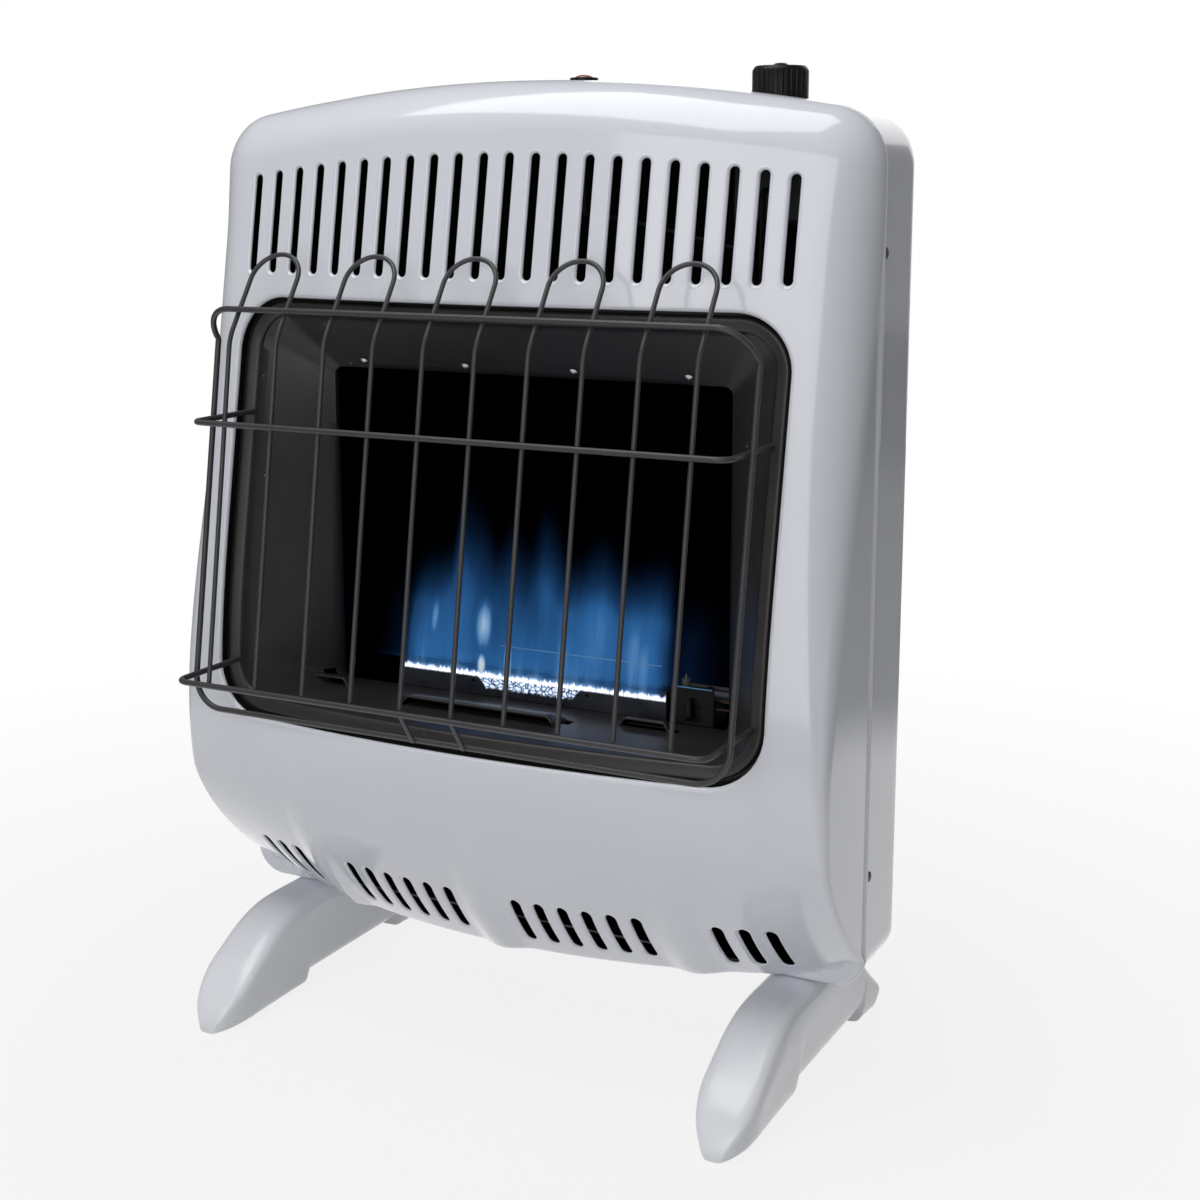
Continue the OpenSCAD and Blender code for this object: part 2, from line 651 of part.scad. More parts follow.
// Gas control under the knob: body, pressed plunger, turning stem and knob
knob_bottom = knob_top - knob_h;
valve_top = knob_bottom - press_travel - 4;
bonnet_h = 18;
bonnet_d = 20;
valve_size = [46, 34, 44];
valve_z = valve_top - bonnet_h - valve_size[2];
plunger_d = stem_d + 6;
plunger_top = valve_top + press_travel + 2;
plunger_bottom = valve_top - 16;
plunger_bore_floor = plunger_bottom - press_travel - 1;
module gas_valve() {
    color("silver") translate([knob_x, control_y, 0]) difference() {
        union() {
            translate([-valve_size[0] / 2, -valve_size[1] / 2, valve_z]) cube(valve_size);
            translate([0, 0, valve_z + valve_size[2]]) cylinder(d = bonnet_d, h = bonnet_h);
        }
        translate([0, 0, plunger_bore_floor])
            cylinder(d = plunger_d + 2 * run_gap, h = valve_top - plunger_bore_floor + 1);
    }
}
module valve_bracket() {
    color("darkgray") translate([knob_x - valve_size[0] / 2, control_y - valve_size[1] / 2, valve_z - 3])
        cube([valve_size[0], back_inner - control_y + valve_size[1] / 2, 3]);
}
module valve_plunger() {
    color("goldenrod") translate([knob_x, control_y, plunger_bottom]) difference() {
        cylinder(d = plunger_d, h = plunger_top - plunger_bottom);
        translate([0, 0, -1]) cylinder(d = stem_d + 2 * run_gap, h = plunger_top - plunger_bottom + 2);
    }
}
stem_sink = 8;
stem_top = knob_top - stem_sink;
stem_collar = 2;
module valve_stem() {
    color("silver") translate([knob_x, control_y, 0]) {
        translate([0, 0, plunger_bottom]) cylinder(d = stem_d, h = stem_top - plunger_bottom);
        translate([0, 0, plunger_top + seat_gap]) cylinder(d = stem_d + 3, h = stem_collar);
    }
}
hub_d = stem_d + 6;
hub_lift = plunger_top + seat_gap + stem_collar + 1 - knob_bottom;
knob_roof = 9;
knob_wall = 2.5;
flute_d = 2.2;
boss_d = 10.5;
boss_h = 1.6;
rim_drop = 0.5;
chamfer_w = 2.2;
chamfer_h = 3;
module control_knob() {
    bore_r = stem_d / 2 + run_gap;
    bore_top = knob_h - stem_sink + seat_gap;
    rim_z = knob_h - boss_h - rim_drop;
    color("#1c1c1e") translate([knob_x, control_y, knob_bottom]) difference() {
        rotate_extrude() polygon([
            [0, bore_top], [bore_r, bore_top], [bore_r, hub_lift], [hub_d / 2, hub_lift],
            [hub_d / 2, knob_h - knob_roof], [knob_d / 2 - knob_wall, knob_h - knob_roof],
            [knob_d / 2 - knob_wall, 0], [knob_d / 2, 0], [knob_d / 2, rim_z - chamfer_h],
            [knob_d / 2 - chamfer_w / 2, rim_z - chamfer_h / 3], [knob_d / 2 - chamfer_w, rim_z],
            [boss_d / 2, rim_z + rim_drop], [boss_d / 3, knob_h - boss_h / 4], [0, knob_h]]);
        for (i = [0:flute_count - 1]) rotate(i * 360 / flute_count)
            translate([knob_d / 2 + 0.5, 0, -1]) cylinder(d = flute_d, h = knob_h + 2);
    }
}

// Push igniter through the casing top
igniter_seat = rear_top(igniter_x);
igniter_d = 22;
igniter_len = 60;
igniter_bottom = igniter_seat - igniter_len;
igniter_neck_top = igniter_seat + nut_h;
button_top = igniter_seat + button_rise;
button_len = 26;
button_floor = button_top - button_len - button_travel - 1.5;
nut_d = 18.8;
module igniter_body() {
    color("#2a2a2c") translate([igniter_x, control_y, 0]) difference() {
        union() {
            translate([0, 0, igniter_bottom])
                cylinder(d = igniter_d, h = igniter_seat - sheet - seat_gap - igniter_bottom);
            translate([0, 0, igniter_bottom])
                cylinder(d = igniter_neck, h = igniter_neck_top - igniter_bottom);
        }
        translate([0, 0, button_floor]) cylinder(d = button_d + 2 * run_gap, h = crown_z);
    }
}
module igniter_nut() {
    color("#1c1c1e") translate([igniter_x, control_y, igniter_seat + seat_gap]) difference() {
        cylinder(d = nut_d, h = nut_h - seat_gap);
        translate([0, 0, -1]) cylinder(d = igniter_neck + 2 * run_gap, h = 2 * nut_h);
    }
}
module igniter_button() {
    dome = 2.5;
    r = button_d / 2;
    color("#8c4632") translate([igniter_x, control_y, button_top - button_len]) rotate_extrude()
        polygon(concat([[0, 0], [r, 0]],
            [for (a = [0:10:90]) [r * cos(a), button_len - dome + dome * sin(a)]]));
}

// Pilot group at the right end of the burner
pilot_w = 31;
pilot_clear = 2.5;
pilot_right = burner_half + pilot_clear + pilot_w;
pilot_x = pilot_right - pilot_w / 2 + 1;
pilot_gap = 10;
pilot_y = seam_y - 2;
pilot_floor = chamber_floor + box_sheet + seat_gap;
// Bracket with a low rear wall and a shield ahead of the pilot, which has an arched opening
pilot_ahead = 2;
pilot_deep = 22;
shield_h = 25;
shield_arch = 11;
module pilot_bracket() {
    left = pilot_right - pilot_w;
    color("silver") difference() {
        translate([left, chamber_y + pilot_ahead, chamber_floor]) {
            cube([pilot_w, pilot_deep, box_sheet]);
            cube([pilot_w, box_sheet, shield_h]);
            translate([0, pilot_deep - box_sheet, 0]) cube([pilot_w, box_sheet, 14]);
        }
        translate([pilot_x - 1, chamber_y + 18, chamber_floor - 1]) cylinder(d = 3.4, h = 4);
        translate([pilot_x, chamber_y + pilot_ahead, pilot_floor]) rotate([90, 0, 0])
            linear_extrude(4 * box_sheet, center = true) {
                translate([-shield_arch / 2, 0]) square([shield_arch, shield_arch]);
                translate([0, shield_arch]) circle(d = shield_arch);
            }
    }
}
module pilot_burner() {
    color("silver") translate([pilot_x, pilot_y, pilot_floor]) difference() {
        rotate_extrude() polygon([[0, 0], [3, 0], [3, 8], [4, 9], [4, 20], [1.5, 20], [1.5, 14], [0, 14]]);
        translate([-1.2, -5, 15]) cube([2.4, 5, 6]);
    }
}
module thermocouple() {
    color("#b87333") translate([pilot_x + pilot_gap, pilot_y - 6, pilot_floor]) {
        cylinder(d = 5, h = 18);
        cylinder(d = 3.4, h = 24);
    }
}
module spark_electrode() {
    color("ivory") translate([pilot_x - pilot_gap, pilot_y, pilot_floor]) {
        cylinder(d = 6, h = 26);
        cylinder(d = 1.8, h = 29);
    }
}

// Pipes and leads inside the casing
lead_ref = [1, 2, 3];
valve_right = knob_x + valve_size[0] / 2 + seat_gap;
valve_front = control_y - valve_size[1] / 2 - seat_gap;
lead_bend = 5;
pilot_tube_d = 4;
pilot_tube_out = 11;
pilot_port_z = valve_z + 18;
module pilot_tube() {
    x = chamber_half + pilot_tube_out;
    z = pilot_floor + 13.5;
    color("#c8c8c8") wire(rounded_path([[pilot_x + 4 + seat_gap, pilot_y, z], [x, pilot_y, z],
        [x, pilot_y, pilot_port_z], [x, valve_front, pilot_port_z]], lead_bend), pilot_tube_d, lead_ref);
}
sensor_d = 2.4;
sensor_out = 21;
sensor_port_z = valve_z + 28;
module thermocouple_lead() {
    x = chamber_half + sensor_out;
    z = pilot_floor + 9.5;
    y = pilot_y - 6;
    color("#b87333") wire(rounded_path([[pilot_x + pilot_gap + 2.5 + seat_gap, y, z], [x, y, z],
        [x, y, sensor_port_z], [x, valve_front, sensor_port_z]], lead_bend), sensor_d, lead_ref);
}
spark_d = 3;
spark_out = 5;
spark_turn_z = valve_z - 20;
spark_drop = 24;
module ignition_wire() {
    x = chamber_half + spark_out;
    z = pilot_floor + 22;
    color("#303030") wire(rounded_path([[pilot_x - pilot_gap + 3 + seat_gap, pilot_y, z], [x, pilot_y, z],
        [x, pilot_y, spark_turn_z], [(x + igniter_x) / 3, pilot_y + 12, valve_z],
        [igniter_x, control_y, igniter_bottom - spark_drop],
        [igniter_x, control_y, igniter_bottom - seat_gap]], lead_bend - 1), spark_d, lead_ref);
}
// Both pipes run up beside the rear casing's side wall
pipe_bend = 12;
pipe_side = 11;
pipe_x = half_w - rear_inner - pipe_side;
burner_pipe_d = 8;
burner_port_z = valve_z + 24;
module burner_pipe() {
    color("#c8c8c8") wire(rounded_path([[injector_end + seat_gap, mixer_y, mixer_z],
        [pipe_x, mixer_y, mixer_z], [pipe_x, mixer_y, burner_port_z],
        [valve_right, mixer_y, burner_port_z]], pipe_bend), burner_pipe_d, lead_ref);
}
regulator_d = 48;
regulator_h = 34;
feed_y = seam_y + 40;
feed_pipe_d = 9;
feed_port_z = valve_z + 36;
feed_low_z = inlet_z + regulator_d;
feed_high_z = feed_low_z + 30;
module feed_pipe() {
    color("#c8c8c8") wire(rounded_path([[inlet_x, feed_y, inlet_z + regulator_d / 2 + seat_gap],
        [inlet_x, feed_y, feed_low_z], [pipe_x, feed_y, feed_high_z], [pipe_x, feed_y, feed_port_z],
        [valve_right, feed_y, feed_port_z]], pipe_bend), feed_pipe_d, lead_ref);
}

// Regulator on the back panel and the flare fitting that takes the gas hose
module regulator() {
    color("#8f9296") translate([inlet_x, 0, inlet_z]) {
        rod_y(regulator_d, back_inner - regulator_h + 8, back_inner - 10);
        rod_y(regulator_d * 0.6, back_inner - regulator_h, back_inner - regulator_h + 8);
        rod_y(24, back_inner - 10, back_inner - seat_gap);
    }
}
module inlet_fitting() {
    color("goldenrod") translate([inlet_x, 0, inlet_z]) difference() {
        union() {
            rod_y(inlet_d, back_inner, back_y + inlet_reach);
            translate([0, back_y + 6, 0]) rotate([90, 0, 0]) cylinder(d = 24, h = 6 - seat_gap, $fn = 6);
        }
        rod_y(8, back_inner - 1, back_y + inlet_reach + 1);
    }
}

// Wire guard
upright_off = (rail_wire + upright_wire) / 2 + weld_gap;
mid_rail_y = face_y(0, mid_rail_z) - rail_stand;
low_rail_y = face_y(0, low_rail_z) - rail_stand;
guard_slope = (mid_rail_y - low_rail_y) / (mid_rail_z - low_rail_z);
function upright_y(z) = low_rail_y + upright_off + guard_slope * (z - low_rail_z);
// The uprights lean back above a bend, and the frame's top wire lies ahead of the leaning legs
bend_z = frame_top_z - 18;
bend_cut = 7;
bend_point = [0, upright_y(bend_z), bend_z];
loop_point = [0, face_y(0, loop_top_z) - loop_stand, loop_top_z];
lean = unit(loop_point - bend_point);
function lean_y(z) = bend_point[1] + lean[1] / lean[2] * (z - bend_z);
frame_half = rail_half + rail_wire + weld_gap;
frame_top_y = lean_y(frame_top_z) - upright_off / lean[2];
// The frame's sides stand between guard and casing, and its top corners turn forward
frame_turn = 22;
frame_stand = 17;
side_stand = 31;
side_turn_z = frame_top_z - frame_turn;
side_turn_y = face_y(frame_half, side_turn_z) - side_stand;
frame_bottom_y = face_y(0, frame_bottom_z) - frame_stand;
function frame_y(z) = z < side_turn_z
    ? frame_bottom_y + (side_turn_y - frame_bottom_y) * (z - frame_bottom_z) / (side_turn_z - frame_bottom_z)
    : side_turn_y + (frame_top_y - side_turn_y) * (z - side_turn_z) / frame_turn;
frame_r = min(frame_turn, low_rail_z - frame_bottom_z - 1);
module guard_frame() {
    corner = [[1, -1, -90], [1, 1, 0], [-1, 1, 90], [-1, -1, 180]];
    mid = (frame_top_z + frame_bottom_z) / 2;
    sx = frame_half - frame_r;
    sz = (frame_top_z - frame_bottom_z) / 2 - frame_r;
    color("#26262a") wire([for (c = corner, a = [0:18:90])
        let (x = c[0] * sx + frame_r * cos(c[2] + a), z = mid + c[1] * sz + frame_r * sin(c[2] + a))
        [x, frame_y(z), z]], rail_wire, closed = true);
}
module guard_rail(z, y) {
    end_y = face_y(rail_half, z) + flange_seat + 0.7;
    color("#26262a") wire(rounded_path([[-rail_half, end_y, z], [-rail_half, y, z],
        [rail_half, y, z], [rail_half, end_y, z]], 10), rail_wire, [0, 0, 1]);
}
module guard_mid_rail() {
    guard_rail(mid_rail_z, mid_rail_y);
}
module guard_low_rail() {
    guard_rail(low_rail_z, low_rail_y);
}
// A hairpin: two legs that lean back above the bend into a loop
loop_r = upright_pitch / 2;
leg_end_z = low_rail_z - 1;
bend_low = [0, upright_y(bend_z - bend_cut), bend_z - bend_cut];
bend_high = bend_point + bend_cut * lean;
function hairpin(cx, tail) = let (
    eye = [cx, 0, 0] + loop_point - loop_r * lean,
    side = [loop_r, 0, 0],
    bow = (bend_low + 2 * bend_point + bend_high) / 4,
    leg = concat(tail ? [[0, frame_bottom_y - upright_off, frame_bottom_z]] : [],
        [[0, upright_y(leg_end_z), leg_end_z], bend_low, bow, bend_high]))
    concat([for (p = leg) p + [cx - loop_r, 0, 0]],
        [for (a = [180:-22.5:0]) eye + cos(a) * side + loop_r * sin(a) * lean],
        [for (i = [len(leg) - 1:-1:0]) leg[i] + [cx + loop_r, 0, 0]]);
module guard_uprights() {
    color("#26262a") for (i = [-2:2]) wire(hairpin(i * 2 * upright_pitch, i == 0), upright_wire);
}

// Feet: a lofted shoe with two treads and a flat recess between them
foot_top = casing_bottom - 0.5;
foot_rise = 0.62;
foot_fall = 0.86;
nose_h = 17;
nose_round = 16;
nose_dip = 12;
instep = 6;
nose_len = 34;
heel_h = 12;
heel_round = 4;
heel_len = 10;
step_front = 4;
step_rear = 2;
nose_y = -foot_front;
arch_front = nose_y + tread_front;
arch_rear = foot_back - tread_rear;
function dip(y) = let (u = clamp01((y - nose_y) / nose_round)) nose_dip * (1 - sqrt(1 - (1 - u) ^ 2));
function foot_high(y) = min(foot_top,
    nose_h + foot_rise * (y - nose_y) + instep * smooth((y - nose_y) / nose_len) - dip(y),
    heel_h + foot_fall * (foot_back - y) + heel_round * smooth((foot_back - y) / heel_len));
function foot_low(y) = foot_arch * clamp01((y - arch_front) / step_front)
    * clamp01((arch_rear - y) / step_rear);
function foot_half(y) = foot_w / 2 * sqrt(1 - 0.86 * (1 - clamp01((y - nose_y) / nose_len)) ^ 2)
    * (1 - 0.25 * (1 - clamp01((foot_back - y) / heel_len)) ^ 2);
foot_y = concat([for (f = [0, 0.04, 0.12, 0.24, 0.42, 0.7, 1]) nose_y + f * nose_len],
    between(nose_y + nose_len, arch_front, 3), [arch_front, arch_front + step_front],
    between(arch_front + step_front, arch_rear - step_rear, 4), [arch_rear - step_rear, arch_rear],
    [for (f = [1.6, 1, 0.5, 0.2, 0]) foot_back - f * heel_len]);
// Squared section with a crowned top and a flat tread, narrower below
foot_sides = 20;
foot_square = 0.4;
foot_narrow = 0.26;
function squared(v) = sign(v) * abs(v) ^ foot_square;
tread_level = squared(cos(180 / foot_sides));
function foot_ring(y) = let (lo = foot_low(y), hi = foot_high(y), half = foot_half(y))
    [for (k = [0:foot_sides - 1]) let (a = 360 * (k + 0.5) / foot_sides,
        v = (1 - squared(sin(a)) / tread_level) / 2)
        [half * squared(cos(a)) / tread_level * (1 - foot_narrow * v), seam_y + y, hi + (lo - hi) * v]];
pad_w = 24;
pad_end = 9;
pad_sink = 8;
pad_top = casing_bottom + rear_step - weld_gap;
screw_sink = 11;
module foot(side) {
    color("whitesmoke") translate([side * foot_pitch / 2, 0, 0]) difference() {
        union() {
            loft([for (y = reversed(foot_y)) foot_ring(y)]);
            translate([-pad_w / 2, foot_screw_y[0] - pad_end, foot_top - pad_sink])
                cube([pad_w, foot_screw_y[1] - foot_screw_y[0] + 2 * pad_end,
                    pad_top - foot_top + pad_sink]);
        }
        for (y = foot_screw_y) translate([0, y, foot_top - screw_sink - 1])
            cylinder(d = foot_screw_d + 2 * seat_gap, h = 2 * screw_sink);
    }
}
module left_foot() {
    foot(-1);
}
module right_foot() {
    foot(1);
}
foot_head_d = 9;
foot_head_h = 3;
module foot_screws() {
    seat = casing_bottom + rear_inner + weld_gap;
    color("silver") for (side = [-1, 1], y = foot_screw_y) translate([side * foot_pitch / 2, y, 0]) {
        translate([0, 0, foot_top - screw_sink])
            cylinder(d = foot_screw_d, h = seat + foot_head_h / 2 - foot_top + screw_sink);
        translate([0, 0, seat]) cylinder(d = foot_head_d, h = foot_head_h);
    }
}

front_casing();
rear_casing();
casing_screws();
firebox();
firebox_rivets();
chamber_back_wall();
chamber_base();
chamber_ceiling();
chamber_left_wall();
chamber_right_wall();
chamber_bracket();
heat_shield();
burner();
mixer_tube();
injector();
injector_bracket();
gas_valve();
valve_bracket();
valve_plunger();
valve_stem();
control_knob();
igniter_body();
igniter_nut();
igniter_button();
pilot_bracket();
pilot_burner();
thermocouple();
spark_electrode();
pilot_tube();
thermocouple_lead();
ignition_wire();
burner_pipe();
feed_pipe();
regulator();
inlet_fitting();
guard_frame();
guard_mid_rail();
guard_low_rail();
guard_uprights();
left_foot();
right_foot();
foot_screws();
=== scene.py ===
"""Dressed scene of a free-standing blue flame propane heater.

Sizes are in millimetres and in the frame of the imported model: X runs to the right of someone
facing the heater, Y to its back and Z up. Meshes are written in metres.
"""
from __future__ import annotations

import logging
import math
from collections.abc import Iterable, Sequence
from dataclasses import dataclass, field
from enum import Enum

import bmesh
import bpy
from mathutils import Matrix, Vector


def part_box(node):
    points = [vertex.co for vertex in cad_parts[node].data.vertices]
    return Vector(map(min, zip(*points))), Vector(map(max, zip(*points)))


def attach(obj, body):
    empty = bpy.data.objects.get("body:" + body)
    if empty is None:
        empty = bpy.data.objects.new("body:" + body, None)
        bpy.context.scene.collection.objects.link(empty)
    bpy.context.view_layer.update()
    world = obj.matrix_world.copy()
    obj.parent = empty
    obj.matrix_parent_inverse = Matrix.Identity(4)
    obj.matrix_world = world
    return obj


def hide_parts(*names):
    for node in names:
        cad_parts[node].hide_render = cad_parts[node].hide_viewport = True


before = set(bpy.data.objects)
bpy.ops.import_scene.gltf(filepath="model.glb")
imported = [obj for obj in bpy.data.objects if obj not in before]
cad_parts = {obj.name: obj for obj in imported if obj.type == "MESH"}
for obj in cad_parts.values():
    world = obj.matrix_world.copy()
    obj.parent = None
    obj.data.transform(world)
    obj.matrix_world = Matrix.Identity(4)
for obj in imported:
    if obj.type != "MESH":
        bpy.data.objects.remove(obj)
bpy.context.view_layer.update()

LOG = logging.getLogger("heater")
MM = 0.001
QUARTER = math.pi / 2.0
BOTH_SIDES = (-1.0, 1.0)
ALL_SMOOTH = 180.0
MERGE_M = 1e-7
MERGE_CAD_M = 1e-6
FLAT_DEG = 0.5

Pair = tuple[float, float]
Triple = tuple[float, float, float]
Colour = Triple
Outline = list[Pair]
Ring = list[Vector]
Quad = tuple[float, float, float, float]
Slot = Quad
Mesh = bmesh.types.BMesh
Piece = bpy.types.Object

BLACK: Colour = (0.0, 0.0, 0.0)
PURE_WHITE = (1.0, 1.0, 1.0, 1.0)


class Body(Enum):
    """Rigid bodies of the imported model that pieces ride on."""

    HEATER = "heater"
    KNOB = "control_knob"
    BUTTON = "igniter_button"


# Shader graphs


class Value:
    """A socket of a shader graph that takes part in Python expressions."""

    def __init__(self, graph: Graph, socket: bpy.types.NodeSocket) -> None:
        """Keep the socket and the graph that it belongs to."""
        self.graph = graph
        self.socket = socket

    def math(self, operation: str, *values: Value | float) -> Value:
        """Add a Math node.

        Args:
            operation: Name of the Math node's operation.
            values: Inputs of the node, in order.

        Returns:
            The node's result.
        """
        return self.graph.node("ShaderNodeMath", dict(enumerate(values)), operation=operation)

    def __add__(self, other: Value | float) -> Value:
        """Sum of two values."""
        return self.math("ADD", self, other)

    def __sub__(self, other: Value | float) -> Value:
        """Difference of two values."""
        return self.math("SUBTRACT", self, other)

    def __rsub__(self, other: float) -> Value:
        """Difference of a number and a value."""
        return self.math("SUBTRACT", other, self)

    def __mul__(self, other: Value | float) -> Value:
        """Product of two values."""
        return self.math("MULTIPLY", self, other)

    def __truediv__(self, other: Value | float) -> Value:
        """Quotient of two values."""
        return self.math("DIVIDE", self, other)

    def __pow__(self, other: float) -> Value:
        """Power of a value."""
        return self.math("POWER", self, other)

    def __abs__(self) -> Value:
        """Size of a value without its sign."""
        return self.math("ABSOLUTE", self)

    __radd__ = __add__
    __rmul__ = __mul__

    def most(self, other: Value | float) -> Value:
        """Greater of two values."""
        return self.math("MAXIMUM", self, other)

    def clipped(self) -> Value:
        """Value held between 0 and 1."""
        return self.math("MINIMUM", self.most(0.0), 1.0)


class Graph:
    """Node tree of one material or of the world."""

    def __init__(self, owner: bpy.types.Material | bpy.types.World) -> None:
        """Empty the owner's tree and give it an output.

        Args:
            owner: Material or world whose tree is built.
        """
        owner.use_nodes = True
        self.tree = owner.node_tree
        self.tree.nodes.clear()
        kind = "World" if isinstance(owner, bpy.types.World) else "Material"
        self.output = self.tree.nodes.new(f"ShaderNodeOutput{kind}")

    def surface(self, shader: Value) -> None:
        """Show a shader."""
        self.tree.links.new(shader.socket, self.output.inputs["Surface"])

    def node(self, kind: str, inputs: dict | None = None, output: int | str = 0,
             **settings: str) -> Value:
        """Add a node, set it up and link its inputs.

        Args:
            kind: Blender's name of the node type.
            inputs: Values or links by socket name or number.
            output: Socket to hand back, by name or number.
            settings: Attributes of the node.

        Returns:
            The chosen output as a value.
        """
        node = self.tree.nodes.new(kind)
        for key, setting in settings.items():
            setattr(node, key, setting)
        for key, value in (inputs or {}).items():
            if isinstance(value, Value):
                self.tree.links.new(value.socket, node.inputs[key])
            else:
                node.inputs[key].default_value = value
        return Value(self, node.outputs[output])

    def place(self, scale: Triple = (1.0, 1.0, 1.0)) -> Value:
        """Object coordinates in metres, stretched."""
        point = self.node("ShaderNodeTexCoord", output="Object")
        return self.node("ShaderNodeMapping", {"Vector": point, "Scale": scale})

    def noise(self, scale: float, detail: float, stretch: Triple = (1.0, 1.0, 1.0)) -> Value:
        """Noise between 0 and 1, with cells of 1/scale metres."""
        inputs = {"Vector": self.place(stretch), "Scale": scale, "Detail": detail}
        return self.node("ShaderNodeTexNoise", inputs, "Fac")

    def axis(self, name: str, own_map: bool = False) -> Value:
        """One coordinate by its letter, in metres or along the piece's own map."""
        kind, output = ("ShaderNodeUVMap", "UV") if own_map else ("ShaderNodeTexCoord", "Object")
        return self.node("ShaderNodeSeparateXYZ", {"Vector": self.node(kind, output=output)}, name)

    def blend(self, factor: Value, low: Colour | Value, high: Colour | Value) -> Value:
        """Colour between two colours.

        Args:
            factor: Share of the second colour.
            low: Colour at 0.
            high: Colour at 1.

        Returns:
            The colour.
        """
        ends = [c if isinstance(c, Value) else (*c, 1.0) for c in (low, high)]
        inputs = {"Factor": factor, 6: ends[0], 7: ends[1]}
        return self.node("ShaderNodeMix", inputs, 2, data_type="RGBA")

    def ramp(self, factor: Value, stops: Sequence[tuple[float, Colour]]) -> Value:
        """Colour from a ramp, by the positions and colours of its stops.

        Args:
            factor: Place on the ramp.
            stops: Position and colour of each stop.

        Returns:
            The colour.
        """
        result = self.node("ShaderNodeValToRGB", {"Fac": factor}, "Color")
        elements = result.socket.node.color_ramp.elements
        while len(elements) < len(stops):
            elements.new(1.0)
        for element, (position, colour) in zip(elements, stops):
            element.position = position
            element.color = (*colour, 1.0)
        return result

    def bump(self, height: Value, strength: float, distance_mm: float) -> Value:
        """Normal bent by a height."""
        inputs = {"Height": height, "Strength": strength, "Distance": distance_mm * MM}
        return self.node("ShaderNodeBump", inputs, "Normal")

    def ray(self, kind: str) -> Value:
        """1 for rays of a kind, otherwise 0."""
        return self.node("ShaderNodeLightPath", output=f"Is {kind} Ray")

    def seen_directly(self) -> Value:
        """1 for camera and glass rays, otherwise 0."""
        return self.ray("Camera").most(self.ray("Transmission"))

    def mix(self, factor: Value, first: Value, second: Value) -> Value:
        """Mix of two shaders."""
        return self.node("ShaderNodeMixShader", {0: factor, 1: first, 2: second})

    def principled(self, **sockets: Value | float | Colour) -> Value:
        """Add a principled shader.

        Args:
            sockets: Values, numbers or colours by socket name, with underscores for spaces.

        Returns:
            The shader.
        """
        inputs = {key.replace("_", " "): (*value, 1.0) if isinstance(value, tuple) else value
                  for key, value in sockets.items()}
        return self.node("ShaderNodeBsdfPrincipled", inputs)


# Finishes


@dataclass(frozen=True)
class Finish:
    """A surface finish and the slot of the record that it stands for.

    A noise of a finish is given as its scale and its detail.
    """

    name: str
    slot: str
    colour: Colour
    roughness: float = 0.4
    metallic: float = 0.0
    shine: float = 0.5
    spread: float = 0.1
    dark: float = 0.97
    light: float = 1.03

    def varied(self, graph: Graph, value: Value) -> Value:
        """The colour, made darker or lighter by a value.

        Args:
            graph: Graph to build in.
            value: Value from 0 for dark to 1 for light.

        Returns:
            The colour.
        """
        ends = [tuple(min(1.0, c * amount) for c in self.colour)
                for amount in (self.dark, self.light)]
        return graph.blend(value, *ends)

    def gloss(self, value: Value) -> Value:
        """The roughness, spread out by a value."""
        return self.roughness - self.spread / 2.0 + self.spread * value

    def opaque(self, graph: Graph, **sockets: Value | float) -> Value:
        """Shader with the finish's own metal and shine, and more sockets by name."""
        return graph.principled(Metallic=self.metallic, Specular_IOR_Level=self.shine, **sockets)

    def dress(self, graph: Graph) -> Value:
        """Shader of the finish; each kind of finish has its own."""
        raise NotImplementedError

    def material(self) -> bpy.types.Material:
        """Build the finish's material.

        Returns:
            The material.
        """
        material = bpy.data.materials.new(self.name)
        graph = Graph(material)
        graph.surface(self.dress(graph))
        return material


@dataclass(frozen=True)
class Enamel(Finish):
    """Sprayed or fired coat with faint clouds and orange peel."""

    coat: float = 0.4
    coat_roughness: float = 0.04
    drift: Pair = (9.0, 3.0)
    haze: Pair = (60.0, 6.0)
    peel: float = 0.06
    peel_noise: Pair = (420.0, 2.0)
    peel_mm: float = 0.3

    def dress(self, graph: Graph) -> Value:
        """Coat with a soft colour drift, uneven gloss and a fine peel.

        Args:
            graph: Graph to build in.

        Returns:
            The shader.
        """
        normal = graph.bump(graph.noise(*self.peel_noise), self.peel, self.peel_mm)
        return self.opaque(graph, Base_Color=self.varied(graph, graph.noise(*self.drift)),
                           Roughness=self.gloss(graph.noise(*self.haze)), Normal=normal,
                           Coat_Weight=self.coat, Coat_Roughness=self.coat_roughness)


